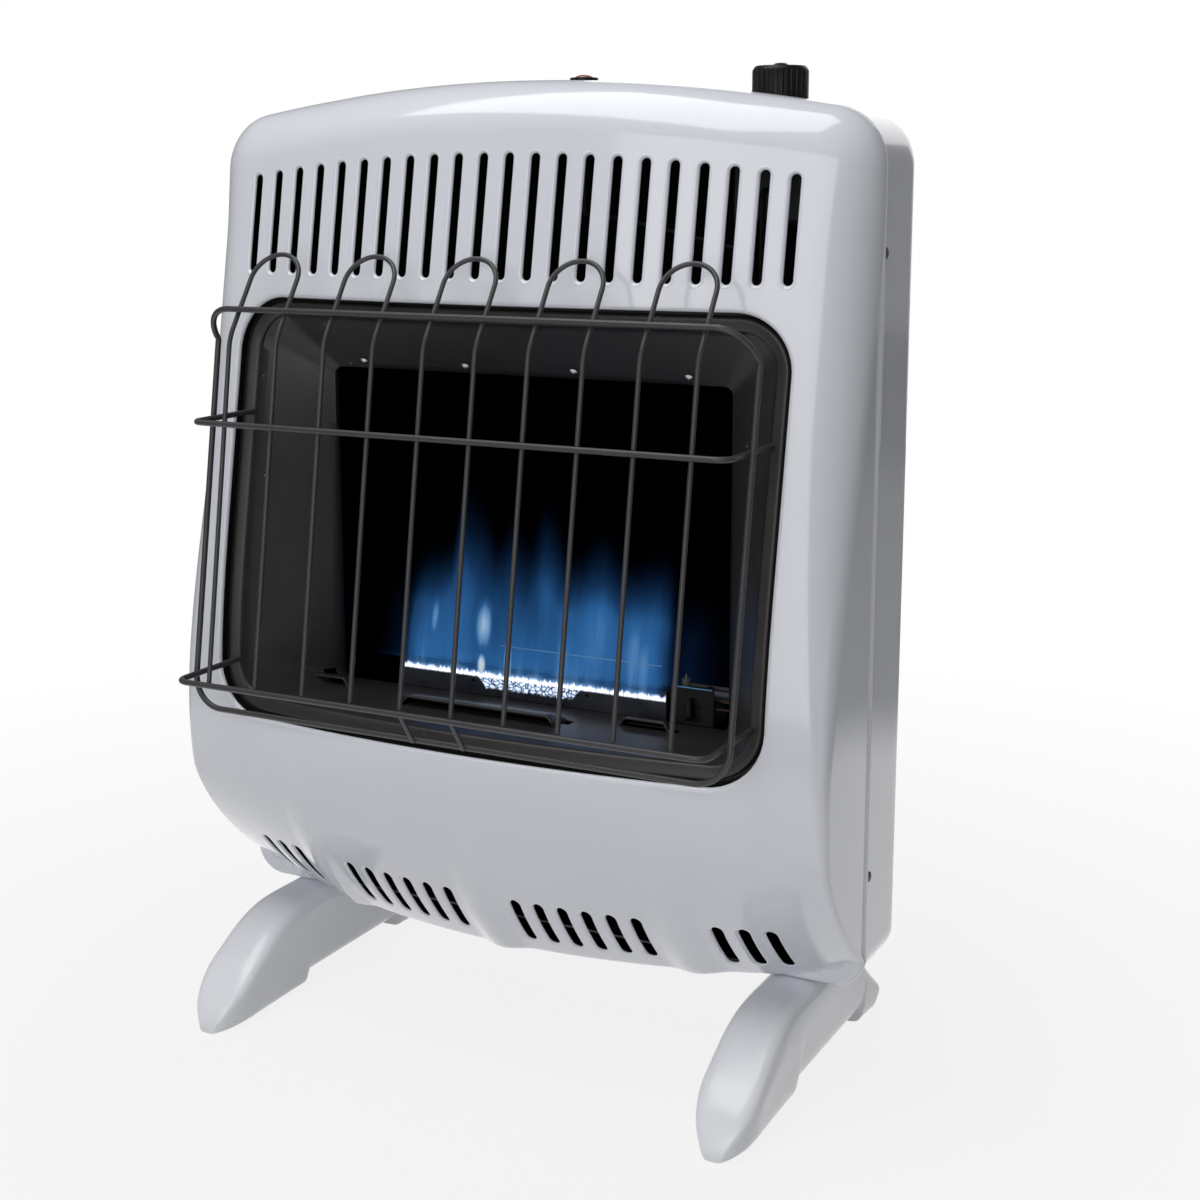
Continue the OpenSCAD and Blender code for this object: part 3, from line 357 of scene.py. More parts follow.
@dataclass(frozen=True)
class HeatCoat(Finish):
    """Satin heat-proof coat of the firebox, with specks, turning darker toward the back."""

    spread: float = 0.18
    dark: float = 0.75
    light: float = 1.3
    back_dark: Colour = (0.006, 0.006, 0.007)
    back_dark_from: float = -0.03
    back_dark_to: float = 0.03
    back_dark_ragged: float = 0.6
    specks: bool = True
    speck_colour: Colour = (0.34, 0.33, 0.31)
    speck_noise: Pair = (260.0, 1.0)
    speck_level: float = 0.80
    speck_rate: float = 30.0
    mottle: Pair = (40.0, 8.0)
    fine: Pair = (900.0, 3.0)
    fine_bump: float = 0.18
    fine_mm: float = 0.2

    def dress(self, graph: Graph) -> Value:
        """Mottled coat, darker toward the back, with a few pale specks.

        Args:
            graph: Graph to build in.

        Returns:
            The shader.
        """
        mottle = graph.noise(*self.mottle)
        depth = (graph.axis("Y") - self.back_dark_from) / (self.back_dark_to - self.back_dark_from)
        back_dark_share = (depth + (mottle - 0.5) * self.back_dark_ragged).clipped()
        colour = graph.blend(back_dark_share, self.varied(graph, mottle), self.back_dark)
        if self.specks:
            speck = (graph.noise(*self.speck_noise) - self.speck_level) * self.speck_rate
            colour = graph.blend(speck.clipped(), colour, self.speck_colour)
        normal = graph.bump(graph.noise(*self.fine), self.fine_bump, self.fine_mm)
        return self.opaque(graph, Base_Color=colour, Roughness=self.gloss(mottle), Normal=normal)


@dataclass(frozen=True)
class Metal(Finish):
    """Plain, plated or drawn metal with a directional grain."""

    metallic: float = 1.0
    spread: float = 0.16
    dark: float = 0.82
    light: float = 1.1
    grain: Triple = (30.0, 900.0, 900.0)
    grain_detail: float = 6.0
    grain_bump: float = 0.12
    grain_mm: float = 0.1
    cloud: Pair = (55.0, 5.0)
    stain: Colour | None = None
    stain_level: float = 0.45
    stain_rate: float = 3.0

    def dress(self, graph: Graph) -> Value:
        """Metal with streaks along its grain and cloudy handling marks.

        Args:
            graph: Graph to build in.

        Returns:
            The shader.
        """
        streak = graph.noise(1.0, self.grain_detail, self.grain)
        cloud = graph.noise(*self.cloud)
        colour = self.varied(graph, streak)
        if self.stain:
            stained = (cloud - self.stain_level) * self.stain_rate
            colour = graph.blend(stained.clipped(), colour, self.stain)
        return self.opaque(graph, Base_Color=colour, Roughness=self.gloss(cloud),
                           Normal=graph.bump(streak, self.grain_bump, self.grain_mm))


@dataclass(frozen=True)
class Moulding(Finish):
    """Moulded plastic or rubber with a fine spark texture."""

    spread: float = 0.08
    dark: float = 0.85
    light: float = 1.15
    texture: float = 0.15
    texture_noise: Pair = (1400.0, 2.0)
    texture_mm: float = 0.15
    cloud: Pair = (70.0, 4.0)
    coat: float = 0.0

    def dress(self, graph: Graph) -> Value:
        """Plastic with a fine texture and slightly uneven gloss.

        Args:
            graph: Graph to build in.

        Returns:
            The shader.
        """
        cloud, spark = graph.noise(*self.cloud), graph.noise(*self.texture_noise)
        return self.opaque(graph, Base_Color=self.varied(graph, cloud),
                           Roughness=self.gloss(cloud), Coat_Weight=self.coat,
                           Normal=graph.bump(spark, self.texture, self.texture_mm))


@dataclass(frozen=True)
class BurningGas(Finish):
    """Glow without a surface of its own."""

    colour: Colour = BLACK
    strength: float = 1.0

    def glowing(self, graph: Graph, colour: Value, cover: Value) -> Value:
        """Shader that only glows, as far as it covers what is behind it.

        Args:
            graph: Graph to build in.
            colour: Colour of the glow.
            cover: Its opacity.

        Returns:
            The shader.
        """
        return graph.principled(Base_Color=BLACK, Roughness=1.0, Specular_IOR_Level=0.0,
                                Emission_Color=colour, Emission_Strength=self.strength,
                                Alpha=cover)


@dataclass(frozen=True)
class Veil(BurningGas):
    """Burning gas above the ports: a blue veil with pale streaks that fades upward.

    A hot spot is given by the x and z of its middle, its half width, its half height and its
    strength.
    """

    cover: float = 0.6
    edge: float = 30.0
    streak_stretch: Triple = (95.0, 30.0, 8.0)
    streak_detail: float = 4.0
    streak_share: float = 0.36
    broad_stretch: Triple = (26.0, 12.0, 9.0)
    broad_detail: float = 2.0
    broad_share: float = 0.5
    fade_rate: float = 2.1
    fade_power: float = 1.2
    even: float = 0.46
    even_fall: float = 0.2
    hot_share: float = 0.06
    hot_top: float = 0.12
    hot_rate: float = 9.0
    spot_power: float = 1.5
    flicker: Pair = (0.6, 0.8)
    foot_share: float = 0.4
    foot_top: float = 0.05
    foot_rate: float = 12.0
    opacity: float = 1.7
    stops: tuple[tuple[float, Colour], ...] = (
        (0.0, (0.003, 0.010, 0.030)), (0.25, (0.012, 0.058, 0.170)),
        (0.5, (0.030, 0.140, 0.370)), (0.75, (0.24, 0.47, 0.78)), (1.0, (0.85, 0.94, 1.0)))
    spots: tuple[tuple[float, ...], ...] = (
        (-38.0, 285.0, 9.0, 20.0, 0.5), (-38.0, 257.0, 4.0, 9.0, 0.7),
        (-79.0, 287.0, 3.5, 15.0, 0.25), (-17.0, 262.0, 3.5, 22.0, 0.45),
        (26.0, 268.0, 14.0, 24.0, 0.1), (82.0, 274.0, 16.0, 26.0, 0.1))

    def dress(self, graph: Graph) -> Value:
        """See-through glow along rising streaks, read from the veil's own map, with hot spots.

        Args:
            graph: Graph to build in.

        Returns:
            The shader.
        """
        rise, along = graph.axis("Y", True), graph.axis("X", True)
        streak = graph.noise(1.0, self.streak_detail, self.streak_stretch)
        broad = graph.noise(1.0, self.broad_detail, self.broad_stretch)
        fade = ((1.0 - rise) * self.fade_rate).clipped() ** self.fade_power
        ends = (along * (1.0 - along) * self.edge).clipped()
        uneven = self.streak_share * (streak - 0.5) + self.broad_share * (broad - 0.5)
        body = fade * ends * (self.even - self.even_fall * rise + uneven)
        hot = self.hot_share * ends * ((self.hot_top - rise) * self.hot_rate).clipped()
        across, height = graph.axis("X"), graph.axis("Z")
        for x, z, wide, tall, amount in self.spots:
            aside, above = (across - x * MM) / (wide * MM), (height - z * MM) / (tall * MM)
            near = (1.0 - (aside * aside + above * above)).clipped()
            hot = hot + amount * near ** self.spot_power
        hot = hot * (self.flicker[0] + self.flicker[1] * streak)
        foot = ((self.foot_top - rise) * self.foot_rate).clipped() * ends
        glow = (body.clipped() + hot + foot * self.foot_share).clipped()
        return self.glowing(graph, graph.ramp(glow, self.stops),
                            (glow * self.opacity).clipped() * self.cover)


@dataclass(frozen=True)
class Roots(BurningGas):
    """White-hot roots of the flames on the ports, with heights and lengths in metres."""

    strength: float = 1.5
    top: float = 0.2515
    low: float = 0.2478
    ragged: float = 0.007
    teeth: Triple = (430.0, 1.0, 25.0)
    teeth_detail: float = 3.0
    teeth_level: float = 0.3
    top_rate: float = 420.0
    low_rate: float = 700.0
    clump: float = 0.0104
    clump_rate: float = 6.0
    clump_gap: float = 0.7
    patch_half: float = 0.04
    patch_rate: float = 160.0
    patch_drop: float = 0.0075
    patch_ragged: Pair = (0.6, 0.7)
    patch_edge: float = 0.0012
    patch_fade: float = 900.0
    patch_cool: float = 0.5
    cell_wall: float = 0.03
    cell_rate: float = 9.0
    cell_stretch: Triple = (1.0, 0.2, 1.4)
    cell_scale: float = 250.0
    cool: Colour = (0.10, 0.30, 0.75)
    hot: Colour = (0.95, 0.98, 1.0)

    def dress(self, graph: Graph) -> Value:
        """Ragged glowing band, deeper and crackled over the middle patch of ports.

        Args:
            graph: Graph to build in.

        Returns:
            The shader.
        """
        height, across = graph.axis("Z"), graph.axis("X")
        teeth = graph.noise(1.0, self.teeth_detail, self.teeth)
        patch = ((self.patch_half - abs(across)) * self.patch_rate).clipped()
        edge = self.top + self.ragged * (teeth - self.teeth_level)
        above = ((edge - height) * self.top_rate).clipped()
        drop = self.patch_drop * patch * (self.patch_ragged[0] + self.patch_ragged[1] * teeth)
        below = ((height - self.low + drop) * self.low_rate).clipped()
        cells = graph.node("ShaderNodeTexVoronoi", {"Vector": graph.place(self.cell_stretch),
                                                    "Scale": self.cell_scale},
                           "Distance", feature="DISTANCE_TO_EDGE")
        lit = ((cells - self.cell_wall) * self.cell_rate).clipped()
        lower = ((self.low + self.patch_edge - height) * self.patch_fade).clipped()
        clump = across.math("SINE", across * (math.pi / self.clump))
        gap = (1.0 - abs(clump) * self.clump_rate).clipped()
        mask = above * below * (1.0 - lower * (1.0 - lit)) * (1.0 - gap * self.clump_gap)
        colour = graph.blend(above * (1.0 - lower * self.patch_cool), self.cool, self.hot)
        return self.glowing(graph, colour, mask)


@dataclass(frozen=True)
class EdgeGlow(Finish):
    """Edge of a plate that the flames light."""

    roughness: float = 0.6
    dark: float = 0.5
    light: float = 1.4
    strength: float = 0.5
    steel: Colour = (0.01, 0.01, 0.012)
    stretch: Triple = (60.0, 10.0, 10.0)
    detail: float = 3.0

    def dress(self, graph: Graph) -> Value:
        """Uneven blue shine along the edge.

        Args:
            graph: Graph to build in.

        Returns:
            The shader.
        """
        colour = self.varied(graph, graph.noise(1.0, self.detail, self.stretch))
        return self.opaque(graph, Base_Color=self.steel, Roughness=self.roughness,
                           Emission_Color=colour, Emission_Strength=self.strength)


WHITE = Enamel("white_enamel", "casing_enamel", (0.77, 0.79, 0.855), 0.14, coat=0.45, peel=0.04)
# Near-black inner faces of the casings: painted shade inside the casing, and on the window's
# turned-in lip a painted shadow gap.
INNER_SHADE = Enamel("inner_painted_shade", "casing_enamel", (0.008, 0.008, 0.009), 0.8, shine=0.05, coat=0.0,
                dark=0.8, light=1.2)
FOOT_WHITE = Enamel("foot_gloss", "foot_white", (0.87, 0.888, 0.935), 0.24, coat=0.22, peel=0.03)
FIREBOX = HeatCoat("firebox_coat", "firebox_enamel", (0.034, 0.031, 0.031), 0.35, shine=0.4)
# Near black: the chamber's dark coat, darkened further as painted shade deep in the chamber and
# under the floor louvres.
CHAMBER_COAT_AND_SHADE = HeatCoat("chamber_coat_and_shade", "chamber_steel", (0.0006, 0.0007, 0.001), 0.7, shine=0.0,
                   back_dark=(0.0005, 0.0005, 0.0007), specks=False)
# Near black: painted shade on the valve bracket inside the casing; the pilot bracket and burner
# take it too.
DARKENED_STEEL = HeatCoat("darkened_steel", "zinc", (0.020, 0.021, 0.024), 0.5, shine=0.15, specks=False)
GUARD = Enamel("guard_black", "guard_black", (0.045, 0.045, 0.048), 0.4, shine=0.4, coat=0.1,
               dark=0.75, light=1.25, peel=0.1)
ZINC = Metal("zinc_plate", "zinc", (0.60, 0.61, 0.62), 0.35, stain=(0.42, 0.43, 0.44))
# Dull zinc of the brackets and heat shield, kept dark partly as painted shade inside the casing.
DULL_SHADED_ZINC = Metal("dull_shaded_zinc", "zinc", (0.16, 0.16, 0.17), 0.5, stain=(0.09, 0.09, 0.10))
BURNER = Metal("burner_steel", "burner_steel", (0.07, 0.075, 0.09), 0.5,
               stain=(0.03, 0.035, 0.06))
BRASS = Metal("turned_brass", "brass", (0.72, 0.52, 0.22), 0.28, grain=(900.0, 30.0, 900.0))
# Die-cast valve and regulator, darkened as painted shade inside the casing.
SHADED_DIECAST = Metal("diecast", "diecast", (0.07, 0.073, 0.077), 0.6, grain=(300.0, 300.0, 300.0))
STEM = Metal("stem_steel", "stem_steel", (0.58, 0.58, 0.60), 0.3, grain=(900.0, 900.0, 30.0))
# Dark brown copper of the thermocouple, its lead and the pilot tube.
DARKENED_COPPER = Metal("darkened_copper", "copper", (0.06, 0.04, 0.035), 0.5, stain=(0.03, 0.02, 0.02))
PIPE = Metal("drawn_tube", "pipe_aluminium", (0.30, 0.30, 0.31), 0.4, grain=(900.0, 900.0, 40.0))
KNOB = Moulding("knob_black", "knob_black", (0.006, 0.006, 0.007), 0.34, shine=0.22)
BUTTON = Moulding("button_copper", "button_copper", (0.30, 0.085, 0.050), 0.3, texture=0.03,
                  coat=0.3)
# Dark grey porcelain of the spark electrode.
PORCELAIN = Moulding("darkened_porcelain", "porcelain", (0.10, 0.098, 0.092), 0.3, texture=0.02,
                     coat=0.4)
LEAD = Moulding("lead_sleeve", "lead_black", (0.02, 0.02, 0.021), 0.55)
VEIL = Veil("flame_veil", "burner_steel")
REAR_VEIL = Veil("rear_flame_veil", "burner_steel", spots=())
# Wide faint veil behind the flames: a painted glow for the flames' blue light on the chamber walls.
PAINTED_FLAME_GLOW = Veil("painted_flame_glow", "burner_steel", cover=0.36, edge=5.0, spots=())
ROOTS = Roots("flame_roots", "burner_steel")
LIT_EDGE = EdgeGlow("lit_edge", "burner_steel", (0.12, 0.32, 0.62))


class Palette:
    """Materials by finish, each built once."""

    def __init__(self) -> None:
        """Start with no material."""
        self._made: dict[Finish, bpy.types.Material] = {}

    def __getitem__(self, finish: Finish) -> bpy.types.Material:
        """Material of a finish.

        Args:
            finish: Finish to look up.

        Returns:
            Its material.
        """
        if finish not in self._made:
            self._made[finish] = finish.material()
        return self._made[finish]


PALETTE = Palette()


# Curves and meshes


def span(start: float, stop: float, count: int, close: bool = False) -> list[float]:
    """Evenly spaced values.

    Args:
        start: First value.
        stop: Value after the last one.
        count: Number of values before stop.
        close: Whether stop is a value too.

    Returns:
        The values.
    """
    values = [start + (stop - start) * i / count for i in range(count)]
    return values + [stop] if close else values


def smooth(value: float) -> float:
    """Soft step from 0 to 1."""
    held = min(1.0, max(0.0, value))
    return held * held * (3.0 - 2.0 * held)


def soft_min(first: float, second: float, reach: float) -> float:
    """Lesser of two values, eased where they differ by less than reach."""
    near = max(0.0, 1.0 - abs(first - second) / reach)
    return min(first, second) - near * near * reach / 4.0


def corner(x: float, z: float, radius: float, angles: Iterable[float]) -> list[Quad]:
    """Part of a circle as x, z and the outward normal.

    Args:
        x: X of its middle.
        z: Z of its middle.
        radius: Its radius.
        angles: Angles of its points, from the X axis.

    Returns:
        The points.
    """
    turns = [(math.cos(a), math.sin(a)) for a in angles]
    return [(x + radius * c, z + radius * s, c, s) for c, s in turns]


def round_box(half: float, low: float, high: float, radius: float,
              counts: tuple[int, int, int, int, int]) -> Outline:
    """Rounded rectangle seen from the front.

    Args:
        half: Half its width.
        low: Lower edge.
        high: Upper edge.
        radius: Corner radius.
        counts: Points on half its lower edge, a lower corner, a side, an upper corner and half
            its upper edge.

    Returns:
        Points as x and z, from the middle of the lower edge to the right and round.
    """
    flat, bottom, top = half - radius, low + radius, high - radius
    lower = corner(flat, bottom, radius, span(-QUARTER, 0.0, counts[1]))
    upper = corner(flat, top, radius, span(0.0, QUARTER, counts[3]))
    right = [(x, low) for x in span(0.0, flat, counts[0])]
    right += [point[:2] for point in lower]
    right += [(half, z) for z in span(bottom, top, counts[2])]
    right += [point[:2] for point in upper]
    right += [(x, high) for x in span(flat, 0.0, counts[4], True)]
    return right + [(-x, z) for x, z in reversed(right[1:-1])]


def slot_loop(slot: Slot, grow: float = 0.0, steps: int = 10) -> Outline:
    """Outline of an upright slot with round ends, seen from the front.

    Args:
        slot: Middle x, width, lower end and upper end.
        grow: Distance outside the slot's edge.
        steps: Points on each straight side and round each end.

    Returns:
        Points as x and z.
    """
    x, width, low, high = slot
    radius, reach = width / 2.0, width / 2.0 + grow
    loop = []
    for middle, end, first in ((high - radius, low + radius, 0.0),
                               (low + radius, high - radius, math.pi)):
        turn = corner(x, middle, reach, span(first, first + math.pi, steps, True))
        loop += [point[:2] for point in turn]
        loop += [(turn[-1][0], z) for z in span(middle, end, steps)[1:]]
    return loop


def bent_sheet(rings: Sequence[Ring], round_rows: bool = True,
               round_columns: bool = False) -> Mesh:
    """Bend a flat grid through rows of points.

    Args:
        rings: Rows of points in millimetres, all of one length.
        round_rows: Whether each row closes on itself.
        round_columns: Whether the last row joins the first.

    Returns:
        The bent grid in metres, with merged seams and a map from 0 to 1 along and across the rows.
    """
    rows, columns = len(rings), len(rings[0])
    across = columns if round_rows else columns - 1
    along = rows if round_columns else rows - 1
    mesh = bmesh.new()
    mesh.loops.layers.uv.new("rows")
    bmesh.ops.create_grid(mesh, x_segments=across, y_segments=along, size=1.0, calc_uvs=True)
    for vert in mesh.verts:
        column = round((vert.co.x + 1.0) / 2.0 * across) % columns
        row = round((vert.co.y + 1.0) / 2.0 * along) % rows
        vert.co = rings[row][column] * MM
    bmesh.ops.remove_doubles(mesh, verts=mesh.verts, dist=MERGE_M)
    return mesh


def close_solid(mesh: Mesh) -> Mesh:
    """Cap open ends and turn the faces outward.

    Args:
        mesh: Mesh to change.

    Returns:
        The same mesh.
    """
    rims = [e for e in mesh.edges if e.is_boundary]
    if rims:
        bmesh.ops.holes_fill(mesh, edges=rims, sides=0)
    bmesh.ops.recalc_face_normals(mesh, faces=mesh.faces)
    return mesh


def prism(ring: Ring, front: float, back: float) -> Mesh:
    """Closed bar along Y through a ring of points, from front to back of it."""
    return close_solid(bent_sheet([[point + Vector((0.0, ahead, 0.0)) for point in ring]
                                   for ahead in (front, back)]))


def tube(path: Sequence[Vector], diameter: float, closed: bool = False,
         ref: Triple = (0.3, 1.0, 0.2), sides: int = 16) -> Mesh:
    """Round wire along a path.

    Args:
        path: Points of the middle line in millimetres.
        diameter: Wire diameter in millimetres.
        closed: Whether the wire is a closed loop.
        ref: Direction that the path never runs along.
        sides: Number of sides of the section.

    Returns:
        A closed mesh in metres.
    """
    count = len(path)
    rings: list[Ring] = []
    for i, point in enumerate(path):
        before = path[(i - 1) % count] if closed or i else path[0]
        after = path[(i + 1) % count] if closed or i < count - 1 else path[-1]
        side = (after - before).cross(Vector(ref)).normalized()
        rise = (after - before).cross(side).normalized()
        rings.append([point + diameter / 2.0 * (math.cos(a) * side + math.sin(a) * rise)
                      for a in span(0.0, math.tau, sides)])
    return close_solid(bent_sheet(rings, True, closed))


def rounded(points: Sequence[Vector], radius: float, steps: int) -> list[Vector]:
    """Path with its inner corners rounded.

    Args:
        points: Corners of the path.
        radius: Distance from a corner at which its bend starts, for a right angle.
        steps: Number of steps in a bend.

    Returns:
        Points of the rounded path.
    """
    path = [points[0]]
    for before, bend, after in zip(points, points[1:], points[2:]):
        back, ahead = (before - bend).normalized(), (after - bend).normalized()
        cut = radius / math.tan(back.angle(ahead) / 2.0)
        path += [bend + cut * ((1.0 - f) ** 2 * back + f ** 2 * ahead)
                 for f in span(0.0, 1.0, steps)]
        path.append(bend + cut * ahead)
    return path + [points[-1]]


def rod(start: Triple, end: Triple, diameter: float, sides: int = 64) -> Mesh:
    """Straight round bar.

    Args:
        start: Middle of one end in millimetres.
        end: Middle of the other end.
        diameter: Diameter in millimetres.
        sides: Number of sides.

    Returns:
        A closed mesh in metres.
    """
    axis, radius = Vector(end) - Vector(start), diameter / 2.0 * MM
    turn = axis.to_track_quat("Z", "Y").to_matrix()
    mesh = bmesh.new()
    bmesh.ops.create_cone(mesh, cap_ends=True, segments=sides, radius1=radius, radius2=radius,
                          depth=axis.length * MM)
    bmesh.ops.rotate(mesh, cent=Vector(), matrix=turn, verts=mesh.verts)
    middle = (Vector(start) + Vector(end)) / 2.0
    bmesh.ops.translate(mesh, vec=middle * MM, verts=mesh.verts)
    return mesh


def block(middle: Triple, size: Triple) -> Mesh:
    """Upright box by its middle and size in millimetres.

    Args:
        middle: Middle of the box.
        size: Its lengths along X, Y and Z.

    Returns:
        The box in metres.
    """
    mesh = bmesh.new()
    bmesh.ops.create_cube(mesh, size=1.0)
    bmesh.ops.scale(mesh, vec=Vector(size) * MM, verts=mesh.verts)
    bmesh.ops.translate(mesh, vec=Vector(middle) * MM, verts=mesh.verts)
    return mesh


def break_edges(mesh: Mesh, width_mm: float, sharp_deg: float = 35.0) -> Mesh:
    """Round the sharp edges of a mesh a little.

    Args:
        mesh: Mesh to change.
        width_mm: Width of the broken edges.
        sharp_deg: Angle above which an edge is sharp.

    Returns:
        The same mesh.
    """
    edges = [e for e in mesh.edges
             if len(e.link_faces) == 2 and e.calc_face_angle() > math.radians(sharp_deg)]
    bmesh.ops.bevel(mesh, geom=edges, offset=width_mm * MM, offset_type="OFFSET", affect="EDGES",
                    segments=2, profile=0.5, material=-1, clamp_overlap=True)
    return mesh


def facing(mesh: Mesh, axis: int, sign: float, near: Triple | None = None) -> Mesh:
    """Turn the faces of an open sheet so that a probed face looks along an axis.

    Args:
        mesh: Mesh to change.
        axis: Number of the axis.
        sign: Direction along it, 1 or -1.
        near: Place of the probed face in millimetres, or None for the outermost one.

    Returns:
        The same mesh.
    """
    bmesh.ops.recalc_face_normals(mesh, faces=mesh.faces)
    if near:
        probe = min(mesh.faces, key=lambda f: (f.calc_center_median() - Vector(near) * MM).length)
    else:
        probe = max(mesh.faces, key=lambda f: sign * f.calc_center_median()[axis])
    if probe.normal[axis] * sign < 0.0:
        bmesh.ops.reverse_faces(mesh, faces=mesh.faces)
    return mesh


def written(name: str, mesh: Mesh) -> bpy.types.Mesh:
    """Mesh data from a bmesh, which is freed.

    Args:
        name: Name of the data.
        mesh: Mesh to write.

    Returns:
        The data.
    """
    data = bpy.data.meshes.new(name)
    mesh.to_mesh(data)
    mesh.free()
    return data


def joined(meshes: Iterable[Mesh]) -> Mesh:
    """Put several meshes into one.

    Args:
        meshes: Meshes, which are freed.

    Returns:
        The whole.
    """
    whole = bmesh.new()
    for mesh in meshes:
        part = written("part", mesh)
        whole.from_mesh(part)
        bpy.data.meshes.remove(part)
    return whole


def merged_copy(node: str, bevel_mm: float = 0.0) -> Mesh:
    """Copy of a CAD node in metres, with its points merged and its edges broken.

    Args:
        node: CAD node.
        bevel_mm: Width of the broken edges.

    Returns:
        The copy.
    """
    mesh = bmesh.new()
    mesh.from_mesh(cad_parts[node].data)
    bmesh.ops.remove_doubles(mesh, verts=mesh.verts, dist=MERGE_CAD_M)
    bmesh.ops.dissolve_limit(mesh, angle_limit=math.radians(FLAT_DEG), verts=mesh.verts,
                             edges=mesh.edges)
    return break_edges(mesh, bevel_mm) if bevel_mm else mesh


# Pieces


def linked(name: str, data: bpy.types.ID) -> Piece:
    """New object in the scene with its data.

    Args:
        name: Name of the object.
        data: Mesh, light or camera.

    Returns:
        The object.
    """
    obj = bpy.data.objects.new(name, data)
    bpy.context.scene.collection.objects.link(obj)
    return obj


def apply_modifiers(obj: Piece) -> None:
    """Bake an object's modifiers into its mesh.

    Args:
        obj: Object to change.
    """
    graph = bpy.context.evaluated_depsgraph_get()
    data = bpy.data.meshes.new_from_object(obj.evaluated_get(graph))
    obj.modifiers.clear()
    obj.data = data


def thicken(obj: Piece, sheet: float, inner: int) -> None:
    """Give an open sheet its thickness, behind its faces.

    Args:
        obj: Object of the sheet.
        sheet: Thickness in millimetres.
        inner: Number of material slots between the outer and the inner faces.
    """
    wall = obj.modifiers.new("wall", "SOLIDIFY")
    wall.thickness = sheet * MM
    wall.offset = -1.0
    wall.material_offset = inner
    apply_modifiers(obj)


def carve(obj: Piece, cutter: Mesh) -> None:
    """Cut a closed mesh, which is freed, out of an object.

    Args:
        obj: Object to cut.
        cutter: Mesh in metres.
    """
    tool = linked("cutter", written("cutter", cutter))
    cut = obj.modifiers.new("cut", "BOOLEAN")
    cut.object = tool
    cut.operation = "DIFFERENCE"
    cut.solver = "EXACT"
    apply_modifiers(obj)
    bpy.data.objects.remove(tool)


def make_piece(name: str, mesh: Mesh, finishes: Sequence[Finish], nodes: Sequence[str] = (),
               sharp_deg: float = 60.0, body: Body = Body.HEATER, sheet: float = 0.0,
               cutters: Sequence[Mesh] = ()) -> None:
    """Turn a mesh into a piece that rides on its body and stands for CAD nodes.

    Args:
        name: Name of the piece.
        mesh: Its mesh in metres, which is freed.
        finishes: Finish of its outer faces, then of its inner ones.
        nodes: CAD nodes that it replaces.
        sharp_deg: Angle above which an edge stays sharp.
        body: Body that carries it.
        sheet: Thickness of an open sheet in millimetres.
        cutters: Closed meshes that are cut out of it in turn.
    """
    data = written(name, mesh)
    for finish in finishes:
        data.materials.append(PALETTE[finish])
    data.shade_smooth()
    data.set_sharp_from_angle(angle=math.radians(sharp_deg))
    obj = linked(name, data)
    if sheet:
        thicken(obj, sheet, len(finishes) - 1)
    for cutter in cutters:
        carve(obj, cutter)
    if cutters:
        obj.data.set_sharp_from_angle(angle=math.radians(sharp_deg))
    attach(obj, body.value)
    finishes[0].slot
    if nodes:
        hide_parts(*nodes)
    LOG.info("%s rides on %s", obj.name, body.value)


# Casing


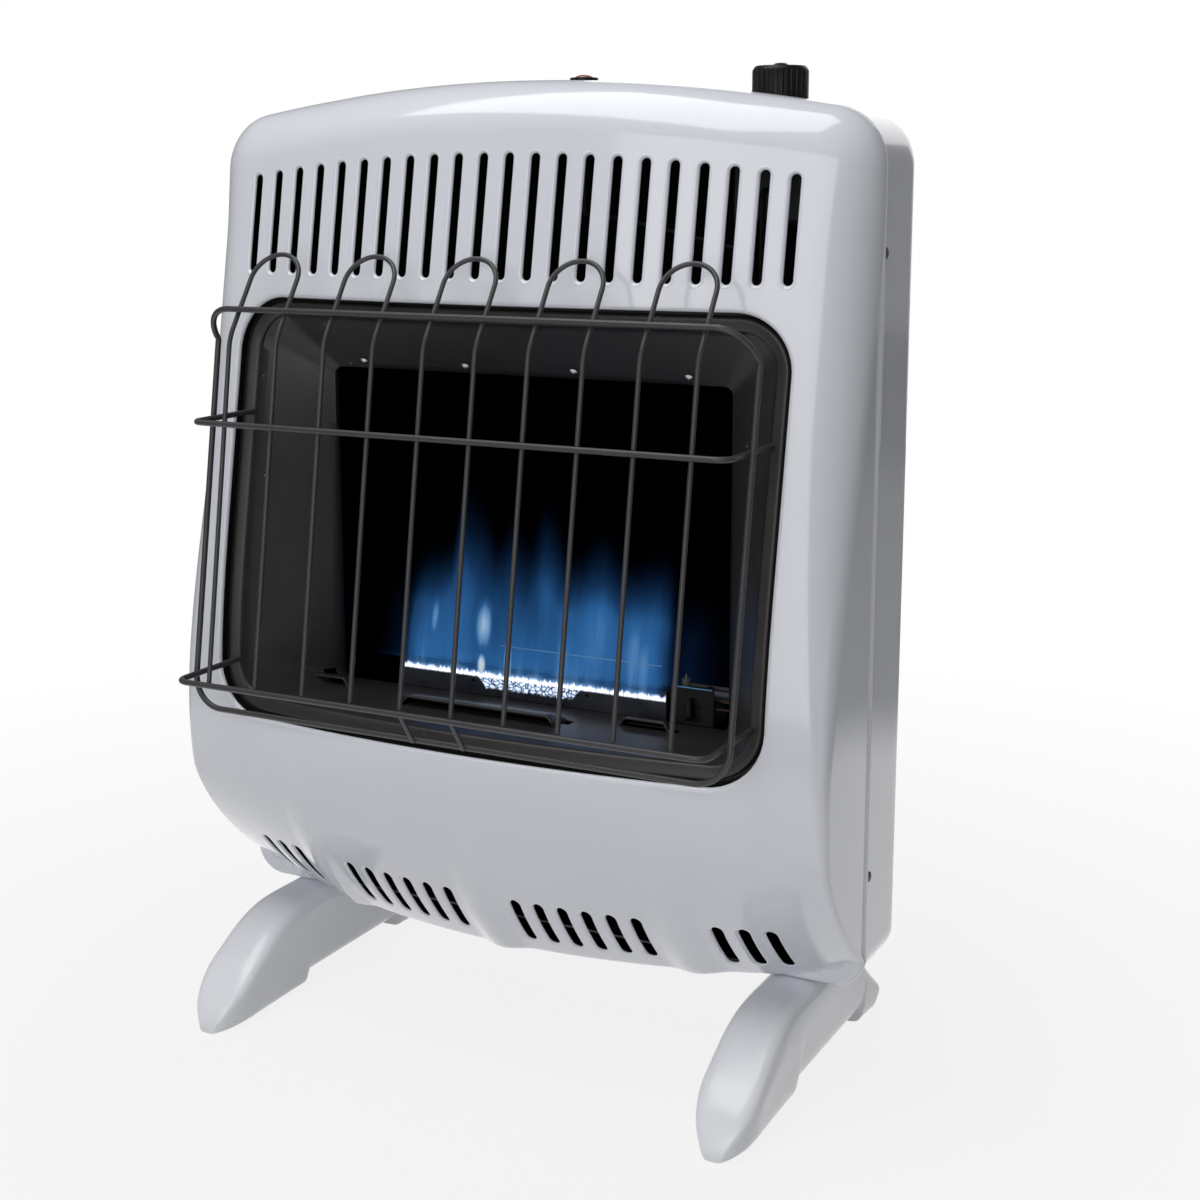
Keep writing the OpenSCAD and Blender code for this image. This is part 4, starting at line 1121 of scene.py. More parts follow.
@dataclass
class CasingForm:
    """Pressed form of the front casing, with the sizes of the part's source.

    The profile of the bead along the seam is given as distances ahead of the seam and inward.
    """

    width: float = 485.0
    crown: float = 651.0
    arch_fall: float = 24.0
    bottom: float = 69.0
    top_r: float = 38.0
    low_r: float = 22.0
    sheet: float = 1.5
    face_d: float = 78.0
    face_ref: float = 460.0
    lean: float = 0.179
    bow: float = 26.0
    sweep_z: float = 346.0
    sweep_soft: float = 35.0
    sweep_steep: float = 68.0
    sweep_side: float = 40.0
    side_power: float = 1.3
    side_sweep_z: float = 175.0
    edge_high: float = 32.0
    edge_low: float = 4.0
    edge_from: float = 130.0
    ridge_h: float = 7.0
    ridge_w: float = 42.0
    ridge_top: float = 212.0
    window_w: float = 408.0
    window_bottom: float = 223.0
    window_top: float = 509.0
    window_r: float = 37.0
    lip_r: float = 3.0
    lip_d: float = 9.0
    slot_count: int = 22
    slot_pitch: float = 18.8
    slot_w: float = 6.0
    slot_bottom: float = 525.5
    slot_top: float = 604.6
    low_count: int = 9
    low_group: int = 6
    low_pitch: float = 16.9
    low_gap: float = 52.4
    low_w: float = 7.0
    low_bottom: float = 83.5
    low_top: float = 120.0
    wall_min: float = 7.0
    wall_flat: float = 3.0
    lip_margin: float = 1.0
    lip_shade: float = 0.5
    seam_bead: tuple[tuple[float, float], ...] = (
        (0.0, 1.6), (0.0, 1.0), (0.4, 0.5), (1.0, 0.15), (1.9, 0.0), (2.9, 0.05), (3.8, 0.3),
        (4.4, 0.9), (4.8, 1.7), (5.3, 2.2), (6.2, 2.3), (7.2, 2.0), (8.4, 1.2), (9.6, 0.5),
        (10.8, 0.12), (12.0, 0.0))
    counts: tuple[int, int, int, int, int] = (100, 10, 90, 18, 60)
    edge_steps: int = 14
    face_steps: int = 44
    lip_steps: int = 8
    seam_y: float = field(init=False)

    def __post_init__(self) -> None:
        """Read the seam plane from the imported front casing."""
        self.seam_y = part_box("front_casing")[1].y / MM

    @property
    def half(self) -> float:
        """Half the width."""
        return self.width / 2.0

    def ridge(self, x: float, z: float) -> float:
        """Height of the pressed ridges at a place on the face.

        Args:
            x: X of the place.
            z: Z of the place.

        Returns:
            The height.
        """
        ridge_x = self.low_gap + (self.low_group - 1) * self.low_pitch
        away = min(abs(x), abs(abs(x) - ridge_x))
        if z > self.ridge_top or away > self.ridge_w / 2.0:
            return 0.0
        wave = (1.0 + math.cos(math.tau * away / self.ridge_w)) / 2.0
        return self.ridge_h * wave * smooth((self.ridge_top - z) / (self.ridge_top - self.bottom))

    def face(self, x: float, z: float) -> float:
        """Y of the outer face at a place seen from the front.

        Args:
            x: X of the place.
            z: Z of the place.

        Returns:
            The Y.
        """
        swept = max(0.0, (self.sweep_z - z) / (self.sweep_z - self.bottom))
        aside = max(0.0, (self.side_sweep_z - z) / (self.side_sweep_z - self.bottom))
        bowed = (x / self.half) ** 2
        depth = (-self.face_d + self.lean * (z - self.face_ref) + self.bow * bowed
                 + self.sweep_soft * swept ** 2 + self.sweep_steep * swept ** 4
                 + self.sweep_side * bowed * aside ** self.side_power - self.ridge(x, z))
        return self.seam_y + min(depth, -self.wall_min)

    def on_face(self, x: float, z: float, deep: float = 0.0) -> Vector:
        """Point at a place seen from the front, some way behind the outer face."""
        return Vector((x, self.face(x, z) + deep, z))

    def arch(self, x: float) -> float:
        """Height of the arched top."""
        return self.crown - self.arch_fall * (x / self.half) ** 2

    def outline(self) -> list[Quad]:
        """Casing outline as x, z and the outward normal, round from the middle of the bottom.

        Returns:
            The points.
        """
        bottoms, lows, sides, tops, arches = self.counts
        flat, low = self.half - self.low_r, self.bottom + self.low_r
        top_x = self.half - self.top_r
        tilt = math.atan(2.0 * self.arch_fall * top_x / self.half ** 2)
        arch_x = top_x + self.top_r * math.sin(tilt)
        high = self.arch(arch_x) - self.top_r * math.cos(tilt)
        right = [(x, self.bottom, 0.0, -1.0) for x in span(0.0, flat, bottoms)]
        right += corner(flat, low, self.low_r, span(-QUARTER, 0.0, lows))
        right += [(self.half, z, 1.0, 0.0) for z in span(low, high, sides)]
        right += corner(top_x, high, self.top_r, span(0.0, QUARTER - tilt, tops))
        for x in span(arch_x, 0.0, arches, True):
            slope = 2.0 * self.arch_fall * x / self.half ** 2
            size = math.hypot(slope, 1.0)
            right.append((x, self.arch(x), slope / size, 1.0 / size))
        return right + [(-x, z, -nx, nz) for x, z, nx, nz in reversed(right[1:-1])]

    def window(self, grow: float) -> Outline:
        """Window outline grown outward, with as many points as the casing outline."""
        return round_box(self.window_w / 2.0 + grow, self.window_bottom - grow,
                         self.window_top + grow, self.window_r + grow, self.counts)

    def edge_r(self, z: float) -> float:
        """Rounding between face and side at a height."""
        part = smooth((z - self.edge_from) / (self.face_ref - self.edge_from))
        return self.edge_low + (self.edge_high - self.edge_low) * part

    def edge_depth(self, x: float, z: float) -> float:
        """Depth of that rounding, which leaves a strip of flat wall at the seam."""
        return min(self.edge_r(z), self.seam_y - self.face(x, z) - self.wall_flat)

    def seam_rings(self) -> list[Ring]:
        """Rings of the bead and the groove along the seam, from the seam forward.

        Returns:
            The rings.
        """
        outline, reach = self.outline(), self.seam_bead[-1][0]
        shares = [min(1.0, (self.seam_y - self.face(x, z) - self.edge_depth(x, z)) / reach)
                  for x, z, _, _ in outline]
        return [[Vector((x - inset * nx, self.seam_y - ahead * share, z - inset * nz))
                 for (x, z, nx, nz), share in zip(outline, shares)]
                for ahead, inset in self.seam_bead]

    def skin(self) -> list[Ring]:
        """Outer skin as rings from the seam over the edge and the face to the window's lip.

        Returns:
            The rings.
        """
        outline = self.outline()
        rings = [self.seam_rings()[-1]]
        for angle in span(0.0, QUARTER, self.edge_steps, True):
            ring = []
            for x, z, nx, nz in outline:
                inward = self.edge_r(z) * (1.0 - math.cos(angle))
                deep = self.edge_depth(x, z) * (1.0 - math.sin(angle))
                ring.append(self.on_face(x - inward * nx, z - inward * nz, deep))
            rings.append(ring)
        edge = [(x - self.edge_r(z) * nx, z - self.edge_r(z) * nz) for x, z, nx, nz in outline]
        pairs = list(zip(edge, self.window(self.lip_r)))
        for part in span(0.0, 1.0, self.face_steps, True)[1:]:
            rings.append([self.on_face(x + (wx - x) * part, z + (wz - z) * part)
                          for (x, z), (wx, wz) in pairs])
        for angle in span(0.0, QUARTER, self.lip_steps, True)[1:]:
            loop = self.window(self.lip_r * (1.0 - math.sin(angle)))
            deep = self.lip_r * (1.0 - math.cos(angle))
            rings.append([self.on_face(x, z, deep) for x, z in loop])
        return rings + [[self.on_face(x, z, self.lip_d) for x, z in self.window(0.0)]]

    def behind_lip(self, at: Vector) -> bool:
        """Whether a point of the skin lies inside the window's turned-in edge.

        Args:
            at: Point in millimetres.

        Returns:
            True for such a point.
        """
        wide = self.window_w / 2.0 + self.lip_margin
        tall = (self.window_top - self.window_bottom) / 2.0 + self.lip_margin
        middle = (self.window_top + self.window_bottom) / 2.0
        inside = abs(at.x) < wide and abs(at.z - middle) < tall
        return inside and at.y > self.face(at.x, at.z) + self.lip_r + self.lip_shade

    def slots(self) -> list[Slot]:
        """Louvre slots as middle x, width, lower end and upper end.

        Returns:
            The slots.
        """
        slots = []
        for i in range(self.slot_count):
            x = (i - (self.slot_count - 1) / 2.0) * self.slot_pitch
            fall = (self.crown - self.arch(x)) * self.window_w / self.width
            slots.append((x, self.slot_w, self.slot_bottom, self.slot_top - fall))
        for i in range(self.low_count):
            skip = self.low_gap - self.low_pitch if i >= self.low_group else 0.0
            x = self.low_gap / 2.0 + i * self.low_pitch + skip
            slots += [(side * x, self.low_w, self.low_bottom, self.low_top) for side in BOTH_SIDES]
        return slots


@dataclass
class FrontCasing:
    """Front casing: smooth pressed sheet, slots with rolled rims and a bead along the seam."""

    form: CasingForm
    bead_sheet: float = 0.4
    roll: float = 2.4
    roll_steps: int = 6
    punch: tuple[float, float] = (-6.0, 8.0)

    def _slot_ring(self, slot: Slot, grow: float, deep: float = 0.0) -> Ring:
        """Outline of a slot on the face, grown outward and set back."""
        return [self.form.on_face(x, z, deep) for x, z in slot_loop(slot, grow)]

    def _rim(self, slot: Slot) -> Mesh:
        """Rim of a slot, rolled inward.

        Args:
            slot: Slot to line.

        Returns:
            The rim in metres.
        """
        rings = [self._slot_ring(slot, self.roll * (1.0 - math.sin(a)),
                                 self.roll * (1.0 - math.cos(a)))
                 for a in span(0.0, QUARTER, self.roll_steps, True)]
        return facing(bent_sheet(rings), 1, -1.0)

    def build(self) -> None:
        """Make the sheet with its inner lip painted near black as a shadow gap, cut the slots and
        set rims and bead.
        """
        form, finishes = self.form, (WHITE, INNER_SHADE)
        sheet = facing(bent_sheet(form.skin()), 1, -1.0)
        # Faces on the window's turned-in lip take the near-black inner finish as a painted shadow
        # gap.
        for part in sheet.faces:
            part.material_index = int(form.behind_lip(part.calc_center_median() / MM))
        cutter = joined(prism(self._slot_ring(slot, self.roll), *self.punch)
                        for slot in form.slots())
        make_piece("front_casing_sheet", sheet, finishes, ("front_casing",),
                   sharp_deg=35.0, sheet=form.sheet, cutters=(cutter,))
        make_piece("slot_rims", joined(map(self._rim, form.slots())), finishes,
                   sheet=form.sheet / 2.0)
        bead = facing(bent_sheet(form.seam_rings()), 0, 1.0)
        make_piece("seam_bead", bead, finishes, sheet=self.bead_sheet)


@dataclass
class RearCasing:
    """Rear casing: a tray that slips into the front casing, with its holes and an inside painted
    near black as shade.
    """

    form: CasingForm
    step: float = 1.8
    lap: float = 2.0
    wall_steps: int = 8
    edge_r: float = 3.0
    edge_steps: int = 6
    control_back: float = 27.0
    control_low: float = 580.0
    control_high: float = 700.0
    knob_inset: float = 81.5
    knob_hole: float = 38.5
    igniter_x: float = 22.0
    igniter_hole: float = 16.3
    keyhole_pitch: float = 300.0
    keyhole_z: float = 540.0
    keyhole_d: float = 9.0
    keyhole_neck: float = 5.0
    keyhole_len: float = 14.0
    inlet_inset: float = 47.5
    inlet_z: float = 150.0
    inlet_hole: float = 17.8
    punch: float = 5.0
    middle_z: float = 360.0
    panel_rings: tuple[float, ...] = (0.8, 0.6, 0.4, 0.2, 0.05)

    def _ring(self, inset: float, y: float) -> Ring:
        """Casing outline moved inward, in a plane."""
        return [Vector((x - inset * nx, y, z - inset * nz))
                for x, z, nx, nz in self.form.outline()]

    def _shell(self, back: float) -> Mesh:
        """Outer skin in metres: wall, rounded rear edge and back panel, which ends at back.

        Args:
            back: Y of the back panel's outer face.

        Returns:
            The skin.
        """
        front = self.form.seam_y - self.lap
        rings = [self._ring(self.step, y)
                 for y in span(front, back - self.edge_r, self.wall_steps)]
        for angle in span(0.0, QUARTER, self.edge_steps, True):
            rings.append(self._ring(self.step + self.edge_r * (1.0 - math.cos(angle)),
                                    back - self.edge_r * (1.0 - math.sin(angle))))
        middle = Vector((0.0, back, self.middle_z))
        rings += [[middle.lerp(point, share) for point in rings[-1]] for share in self.panel_rings]
        skin = bent_sheet(rings)
        inner = [e for e in skin.edges
                 if e.is_boundary and abs(e.verts[0].co.y - back * MM) < MERGE_CAD_M]
        bmesh.ops.holes_fill(skin, edges=inner, sides=0)
        return facing(skin, 1, 1.0)

    def _holes(self, back: float) -> Mesh:
        """Bars through the holes for knob, igniter, gas inlet and wall screws.

        Args:
            back: Y of the back panel's outer face.

        Returns:
            The bars in metres.
        """
        control_y, half = self.form.seam_y + self.control_back, self.form.half
        top = ((half - self.knob_inset, self.knob_hole), (self.igniter_x, self.igniter_hole))
        bars = [rod((x, control_y, self.control_low), (x, control_y, self.control_high), size)
                for x, size in top]
        rear = [(half - self.inlet_inset, self.inlet_z, self.inlet_hole)]
        rear += [(side * self.keyhole_pitch / 2.0, self.keyhole_z, self.keyhole_d)
                 for side in BOTH_SIDES]
        bars += [rod((x, back - self.punch, z), (x, back + self.punch, z), size)
                 for x, z, size in rear]
        return joined(bars)

    def _necks(self, back: float) -> Mesh:
        """Bars through the necks of the keyholes.

        Args:
            back: Y of the back panel's outer face.

        Returns:
            The bars in metres.
        """
        top = self.keyhole_z + self.keyhole_len
        middles = (side * self.keyhole_pitch / 2.0 for side in BOTH_SIDES)
        loops = [slot_loop((x, self.keyhole_neck, self.keyhole_z, top)) for x in middles]
        return joined(prism([Vector((x, back, z)) for x, z in loop], -self.punch, self.punch)
                      for loop in loops)

    def build(self) -> None:
        """Make the tray and cut its holes."""
        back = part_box("rear_casing")[1].y / MM
        cutters = self._holes(back), self._necks(back)
        make_piece("rear_casing_tray", self._shell(back), (WHITE, INNER_SHADE), ("rear_casing",),
                   sharp_deg=25.0, sheet=self.form.sheet, cutters=cutters)


# Firebox


@dataclass
class Firebox:
    """Tapered tray behind the window, with slots in its floor and louvres over them.

    The rim's profile is given as distances outside the window's edge and behind the flange's
    seat. A slot is given by the x and y of its middle and its length, and a louvre by the x of
    its middle, the y of its front edge, its length, its height and its depth.
    """

    form: CasingForm
    flange_in: float = 12.0
    bead: float = 4.0
    seat: float = 9.3
    chamber_half: float = 151.0
    chamber_floor: float = 235.0
    chamber_top: float = 460.0
    chamber_r: float = 6.0
    chamber_ahead: float = 15.0
    sheet: float = 1.2
    wall_steps: int = 10
    counts: tuple[int, int, int, int, int] = (40, 14, 50, 14, 40)
    rim: tuple[tuple[float, float], ...] = (
        (7.0, 0.0), (0.3, 0.0), (-0.4, 1.0), (-0.8, 4.5), (-2.2, 4.5), (-2.6, 1.0), (-2.9, -0.9),
        (-3.5, -1.9), (-4.3, -2.2), (-5.4, -2.0), (-7.5, -1.2), (-9.5, -0.3), (-11.0, 0.6),
        (-11.8, 1.6))
    slot_w: float = 9.0
    slot_cut: float = 16.0
    floor_slots: tuple[Triple, ...] = ((-160.0, -27.0, 36.0), (-17.0, -46.0, 134.0),
                                       (102.0, -31.0, 40.0))
    louvre_end: float = 5.0
    louvre_sink: float = 0.3
    louvre_rows: int = 10
    louvre_columns: int = 40
    louvres: tuple[tuple[float, ...], ...] = (
        (-152.0, -38.0, 38.0, 6.0, 17.0), (-15.0, -61.0, 120.0, 7.5, 21.0),
        (98.0, -36.0, 38.0, 6.0, 13.0))

    def _flange(self, grow: float, deep: float) -> Ring:
        """Ring of the flange behind the window's edge.

        Args:
            grow: Distance outside the window's edge.
            deep: Distance behind the flange's seat.

        Returns:
            The ring.
        """
        form = self.form
        ring = round_box(form.window_w / 2.0 + grow, form.window_bottom - grow,
                         form.window_top + grow, form.window_r + grow, self.counts)
        return [form.on_face(x, z, self.seat + deep) for x, z in ring]

    def _mouth(self, ahead: float) -> Ring:
        """Ring at the mouth of the chamber.

        Args:
            ahead: Distance ahead of the mouth.

        Returns:
            The ring.
        """
        ring = round_box(self.chamber_half, self.chamber_floor, self.chamber_top, self.chamber_r,
                         self.counts)
        return [Vector((x, self.form.seam_y - self.chamber_ahead - ahead, z)) for x, z in ring]

    def _louvre(self, middle: float, lip: float, length: float, high: float, deep: float) -> Mesh:
        """Pressed hood over a floor slot, open to the front.

        Args:
            middle: X of its middle.
            lip: Y of its front edge, from the seam.
            length: Length of the hood.
            high: Height of its front edge.
            deep: Distance from its front edge to its back.

        Returns:
            The hood in metres.
        """
        rows = []
        for turn in span(0.0, QUARTER, self.louvre_rows, True):
            y = self.form.seam_y + lip + deep * math.cos(turn)
            row = []
            for along in span(-1.0, 1.0, self.louvre_columns, True):
                end = smooth((1.0 - abs(along)) * length / 2.0 / self.louvre_end)
                rise = high * math.sin(turn) * end - self.louvre_sink
                row.append(Vector((middle + along * length / 2.0, y, self.chamber_floor + rise)))
            rows.append(row)
        return facing(bent_sheet(rows, False), 2, 1.0)

    def build(self) -> None:
        """Make the tray with its rim, cut the floor slots and set the louvres."""
        walls = list(zip(self._flange(-self.flange_in, self.bead), self._mouth(self.bead)))
        rings = [self._flange(grow, deep) for grow, deep in self.rim]
        rings += [[a.lerp(b, s) for a, b in walls] for s in span(0.0, 1.0, self.wall_steps, True)]
        rings.append(self._mouth(0.0))
        seam_y, floor = self.form.seam_y, self.chamber_floor
        tray = facing(bent_sheet(rings), 2, 1.0, (0.0, seam_y - self.chamber_ahead, floor))
        cutter = joined(block((x, seam_y + y, floor), (length, self.slot_w, self.slot_cut))
                        for x, y, length in self.floor_slots)
        make_piece("firebox_tray", tray, (FIREBOX,), ("firebox",), sharp_deg=50.0,
                   sheet=self.sheet, cutters=(cutter,))
        # The louvres' inner faces take the near-black chamber finish as painted shade under the
        # hoods.
        make_piece("floor_louvres", joined(self._louvre(*hood) for hood in self.louvres),
                   (FIREBOX, CHAMBER_COAT_AND_SHADE), sheet=self.sheet)


@dataclass
class BurnerFlame:
    """Flames on the burner: glowing roots on the ports and veils that rise from them.

    A tongue is given by its x, its height above the base and its width.
    """

    root_z: float = 249.0
    half: float = 104.0
    glow_half: float = 142.0
    base: float = 92.0
    tongues: tuple[Triple, ...] = (
        (-57.0, 50.0, 10.0), (-24.0, 30.0, 9.0), (4.0, 38.0, 8.0), (46.0, 18.0, 13.0),
        (91.0, 8.0, 11.0), (-96.0, -4.0, 8.0))
    layers: int = 3
    layer_gap: float = 7.0
    lean: float = 22.0
    taper: float = 0.05
    sink: float = 0.08
    bow: float = 1.4
    sway: float = 3.0
    sway_len: float = 11.0
    sway_turn: Pair = (2.0, 4.0)
    drift: float = 2.0
    drift_len: float = 7.0
    rows: int = 40
    columns: int = 120
    band_rows: int = 8
    band_columns: int = 60
    root_low: float = 239.0
    root_high: float = 259.0
    ahead: float = 0.6
    root_ahead: float = 1.0
    edge_ahead: float = 1.4
    edge_left: float = -22.0
    edge_right: float = 101.0
    edge_z: float = 272.5
    edge_d: float = 0.7
    edge_sides: int = 12
    edge_inset: Triple = (1.0, 0.2, 0.3)

    def _height(self, x: float) -> float:
        """Height of the flames at a place along the burner."""
        return self.base + sum(rise * math.exp(-((x - at) / width) ** 2)
                               for at, rise, width in self.tongues)

    def _veil(self, burner_y: float, layer: int, half: float) -> Mesh:
        """One leaning, wavy veil.

        Args:
            burner_y: Y of the burner's front.
            layer: Number of the veil, counted from the front.
            half: Half its width.

        Returns:
            The veil in metres.
        """
        rows = []
        for rise in span(0.0, 1.0, self.rows, True):
            depth = burner_y - self.ahead + layer * self.layer_gap + self.lean * rise ** self.bow
            turn = self.sway_turn[0] * layer + self.sway_turn[1] * rise
            row = []
            for part in span(-1.0, 1.0, self.columns, True):
                x = part * half * (1.0 - self.taper * rise)
                sway = self.sway * rise * math.sin(x / self.sway_len + turn)
                drift = self.drift * rise * math.sin(x / self.drift_len + layer)
                tall = self._height(x) * rise * (1.0 - self.sink * layer)
                row.append(Vector((x + drift, depth + sway, self.root_z + tall)))
            rows.append(row)
        return bent_sheet(rows, False)

    def build(self) -> None:
        """Make a stack of veils with a wide painted glow for the flames' light on the chamber
        behind, the roots and the edges that they light.
        """
        burner_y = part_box("burner")[0].y / MM
        rear = joined(self._veil(burner_y, layer, self.half) for layer in range(1, self.layers))
        across = span(-self.half, self.half, self.band_columns, True)
        rows = [[Vector((x, burner_y - self.root_ahead, z)) for x in across]
                for z in span(self.root_low, self.root_high, self.band_rows, True)]
        veils = (("flame_veil_front", self._veil(burner_y, 0, self.half), VEIL),
                 ("flame_veils_rear", rear, REAR_VEIL),
                 # The widest veil is the painted glow of the flames' light on the chamber walls.
                 ("painted_flame_glow", self._veil(burner_y, self.layers, self.glow_half), PAINTED_FLAME_GLOW),
                 ("flame_root_band", bent_sheet(rows, False), ROOTS))
        for name, mesh, finish in veils:
            make_piece(name, mesh, (finish,), sharp_deg=ALL_SMOOTH)
        low, high = (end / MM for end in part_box("pilot_bracket"))
        dx, dy, dz = self.edge_inset
        edges = ((self.edge_left, self.edge_right, burner_y - self.edge_ahead, self.edge_z),
                 (low.x + dx, high.x - dx, low.y + dy, high.z - dz))
        glow = joined(rod((left, y, z), (right, y, z), self.edge_d, self.edge_sides)
                      for left, right, y, z in edges)
        make_piece("lit_edges", glow, (LIT_EDGE,))


# Guard


@dataclass
class Guard:
    """Wire guard: frame, two rails and five hairpins."""

    form: CasingForm
    rail_d: float = 4.0
    upright_d: float = 3.2
    pitch: float = 37.5
    hairpins: int = 5
    stand: float = 41.0
    rail_half: float = 193.0
    rail_sink: float = 10.0
    rail_bend: float = 10.0
    mid_z: float = 430.0
    low_z: float = 259.0
    top_z: float = 504.0
    bottom_z: float = 236.0
    loop_z: float = 539.0
    loop_stand: float = 13.0
    weld_gap: float = 0.2
    bend_drop: float = 18.0
    bend_r: float = 34.0
    tail_bend: float = 3.0
    leg_over: float = 1.0
    turn: float = 22.0
    bottom_stand: float = 17.0
    side_stand: float = 31.0
    turn_steps: int = 14
    rail_steps: int = 12
    bend_steps: int = 8
    tail_steps: int = 6
    loop_steps: int = 24

    @property
    def offset(self) -> float:
        """Distance between the middles of two wires that touch."""
        return (self.rail_d + self.upright_d) / 2.0 + self.weld_gap

    @property
    def bend(self) -> Vector:
        """Bend of an upright, at the middle of the guard."""
        z = self.top_z - self.bend_drop
        return Vector((0.0, self.upright_y(z), z))

    @property
    def loop_top(self) -> Vector:
        """Highest point of a loop, at the middle of the guard."""
        return self.form.on_face(0.0, self.loop_z, -self.loop_stand)

    @property
    def lean(self) -> Vector:
        """Direction of the uprights above their bend."""
        return (self.loop_top - self.bend).normalized()

    @property
    def frame_half(self) -> float:
        """Half the width of the frame."""
        return self.rail_half + self.rail_d + self.weld_gap

    @property
    def bottom_y(self) -> float:
        """Y of the frame's bottom wire."""
        return self.form.face(0.0, self.bottom_z) - self.bottom_stand

    def rail_y(self, z: float) -> float:
        """Y of a rail at a height."""
        return self.form.face(0.0, z) - self.stand

    def upright_y(self, z: float) -> float:
        """Y of the uprights below their bend at a height.

        Args:
            z: Height.

        Returns:
            The Y.
        """
        low_y = self.rail_y(self.low_z)
        slope = (self.rail_y(self.mid_z) - low_y) / (self.mid_z - self.low_z)
        return low_y + self.offset + slope * (z - self.low_z)

    def frame_y(self, z: float) -> float:
        """Y of the frame at a height: straight sides and a top that turns forward.

        Args:
            z: Height.

        Returns:
            The Y.
        """
        turn_z = self.top_z - self.turn
        turn_y = self.form.face(self.frame_half, turn_z) - self.side_stand
        if z < turn_z:
            part = (z - self.bottom_z) / (turn_z - self.bottom_z)
            return self.bottom_y + (turn_y - self.bottom_y) * part
        lean, bend = self.lean, self.bend
        top_y = bend.y + lean.y / lean.z * (self.top_z - bend.z) - self.offset / lean.z
        return turn_y + (top_y - turn_y) * (z - turn_z) / self.turn

    def _frame_path(self) -> list[Vector]:
        """Closed rounded rectangle whose top lies ahead of the uprights.

        Returns:
            Points of the wire.
        """
        right, left = self.frame_half - self.turn, self.turn - self.frame_half
        low, high = self.bottom_z + self.turn, self.top_z - self.turn
        path = []
        for i, (x, z) in enumerate(((right, low), (right, high), (left, high), (left, low))):
            angles = span((i - 1) * QUARTER, i * QUARTER, self.turn_steps, True)
            path += [Vector((px, self.frame_y(pz), pz))
                     for px, pz, _, _ in corner(x, z, self.turn, angles)]
        return path

    def _rail_path(self, z: float) -> list[Vector]:
        """A rail with its ends bent back to the firebox.

        Args:
            z: Height of the rail.

        Returns:
            Points of the wire.
        """
        front, end = self.rail_y(z), self.form.face(self.rail_half, z) + self.rail_sink
        corners = ((-1.0, end), (-1.0, front), (1.0, front), (1.0, end))
        return rounded([Vector((side * self.rail_half, y, z)) for side, y in corners],
                       self.rail_bend, self.rail_steps)

    def _hairpin_path(self, middle: float, tail: bool) -> list[Vector]:
        """Two legs that lean back above a bend into a loop.

        Args:
            middle: X between the legs.
            tail: Whether the legs run on to the frame's bottom wire.

        Returns:
            Points of the wire.
        """
        radius, lean = self.pitch / 2.0, self.lean
        eye, end_z = self.loop_top - radius * lean, self.low_z - self.leg_over
        end = Vector((0.0, self.upright_y(end_z), end_z))
        leg = rounded([end, self.bend, eye], self.bend_r, self.bend_steps)[:-1]
        if tail:
            hook = Vector((0.0, self.bottom_y - self.offset, self.bottom_z))
            leg = rounded([hook, end, leg[1]], self.tail_bend, self.tail_steps)[:-1] + leg[1:]
        aside = Vector((1.0, 0.0, 0.0))
        loop = [middle * aside + eye + radius * (math.cos(a) * aside + math.sin(a) * lean)
                for a in span(math.pi, 0.0, self.loop_steps, True)]
        left, right = (middle - radius) * aside, (middle + radius) * aside
        return [left + p for p in leg] + loop + [right + p for p in reversed(leg)]

    def build(self) -> None:
        """Make the four wire pieces."""
        upward = (0.0, 0.0, 1.0)
        reach = self.hairpins // 2
        paths = [self._hairpin_path(i * 2.0 * self.pitch, i == 0)
                 for i in range(-reach, reach + 1)]
        wires = {
            "guard_frame": tube(self._frame_path(), self.rail_d, True),
            "guard_mid_rail": tube(self._rail_path(self.mid_z), self.rail_d, ref=upward),
            "guard_low_rail": tube(self._rail_path(self.low_z), self.rail_d, ref=upward),
            "guard_uprights": joined(tube(path, self.upright_d) for path in paths),
        }
        for node, mesh in wires.items():
            make_piece(f"{node}_wire", mesh, (GUARD,), (node,), sharp_deg=50.0)


# Feet


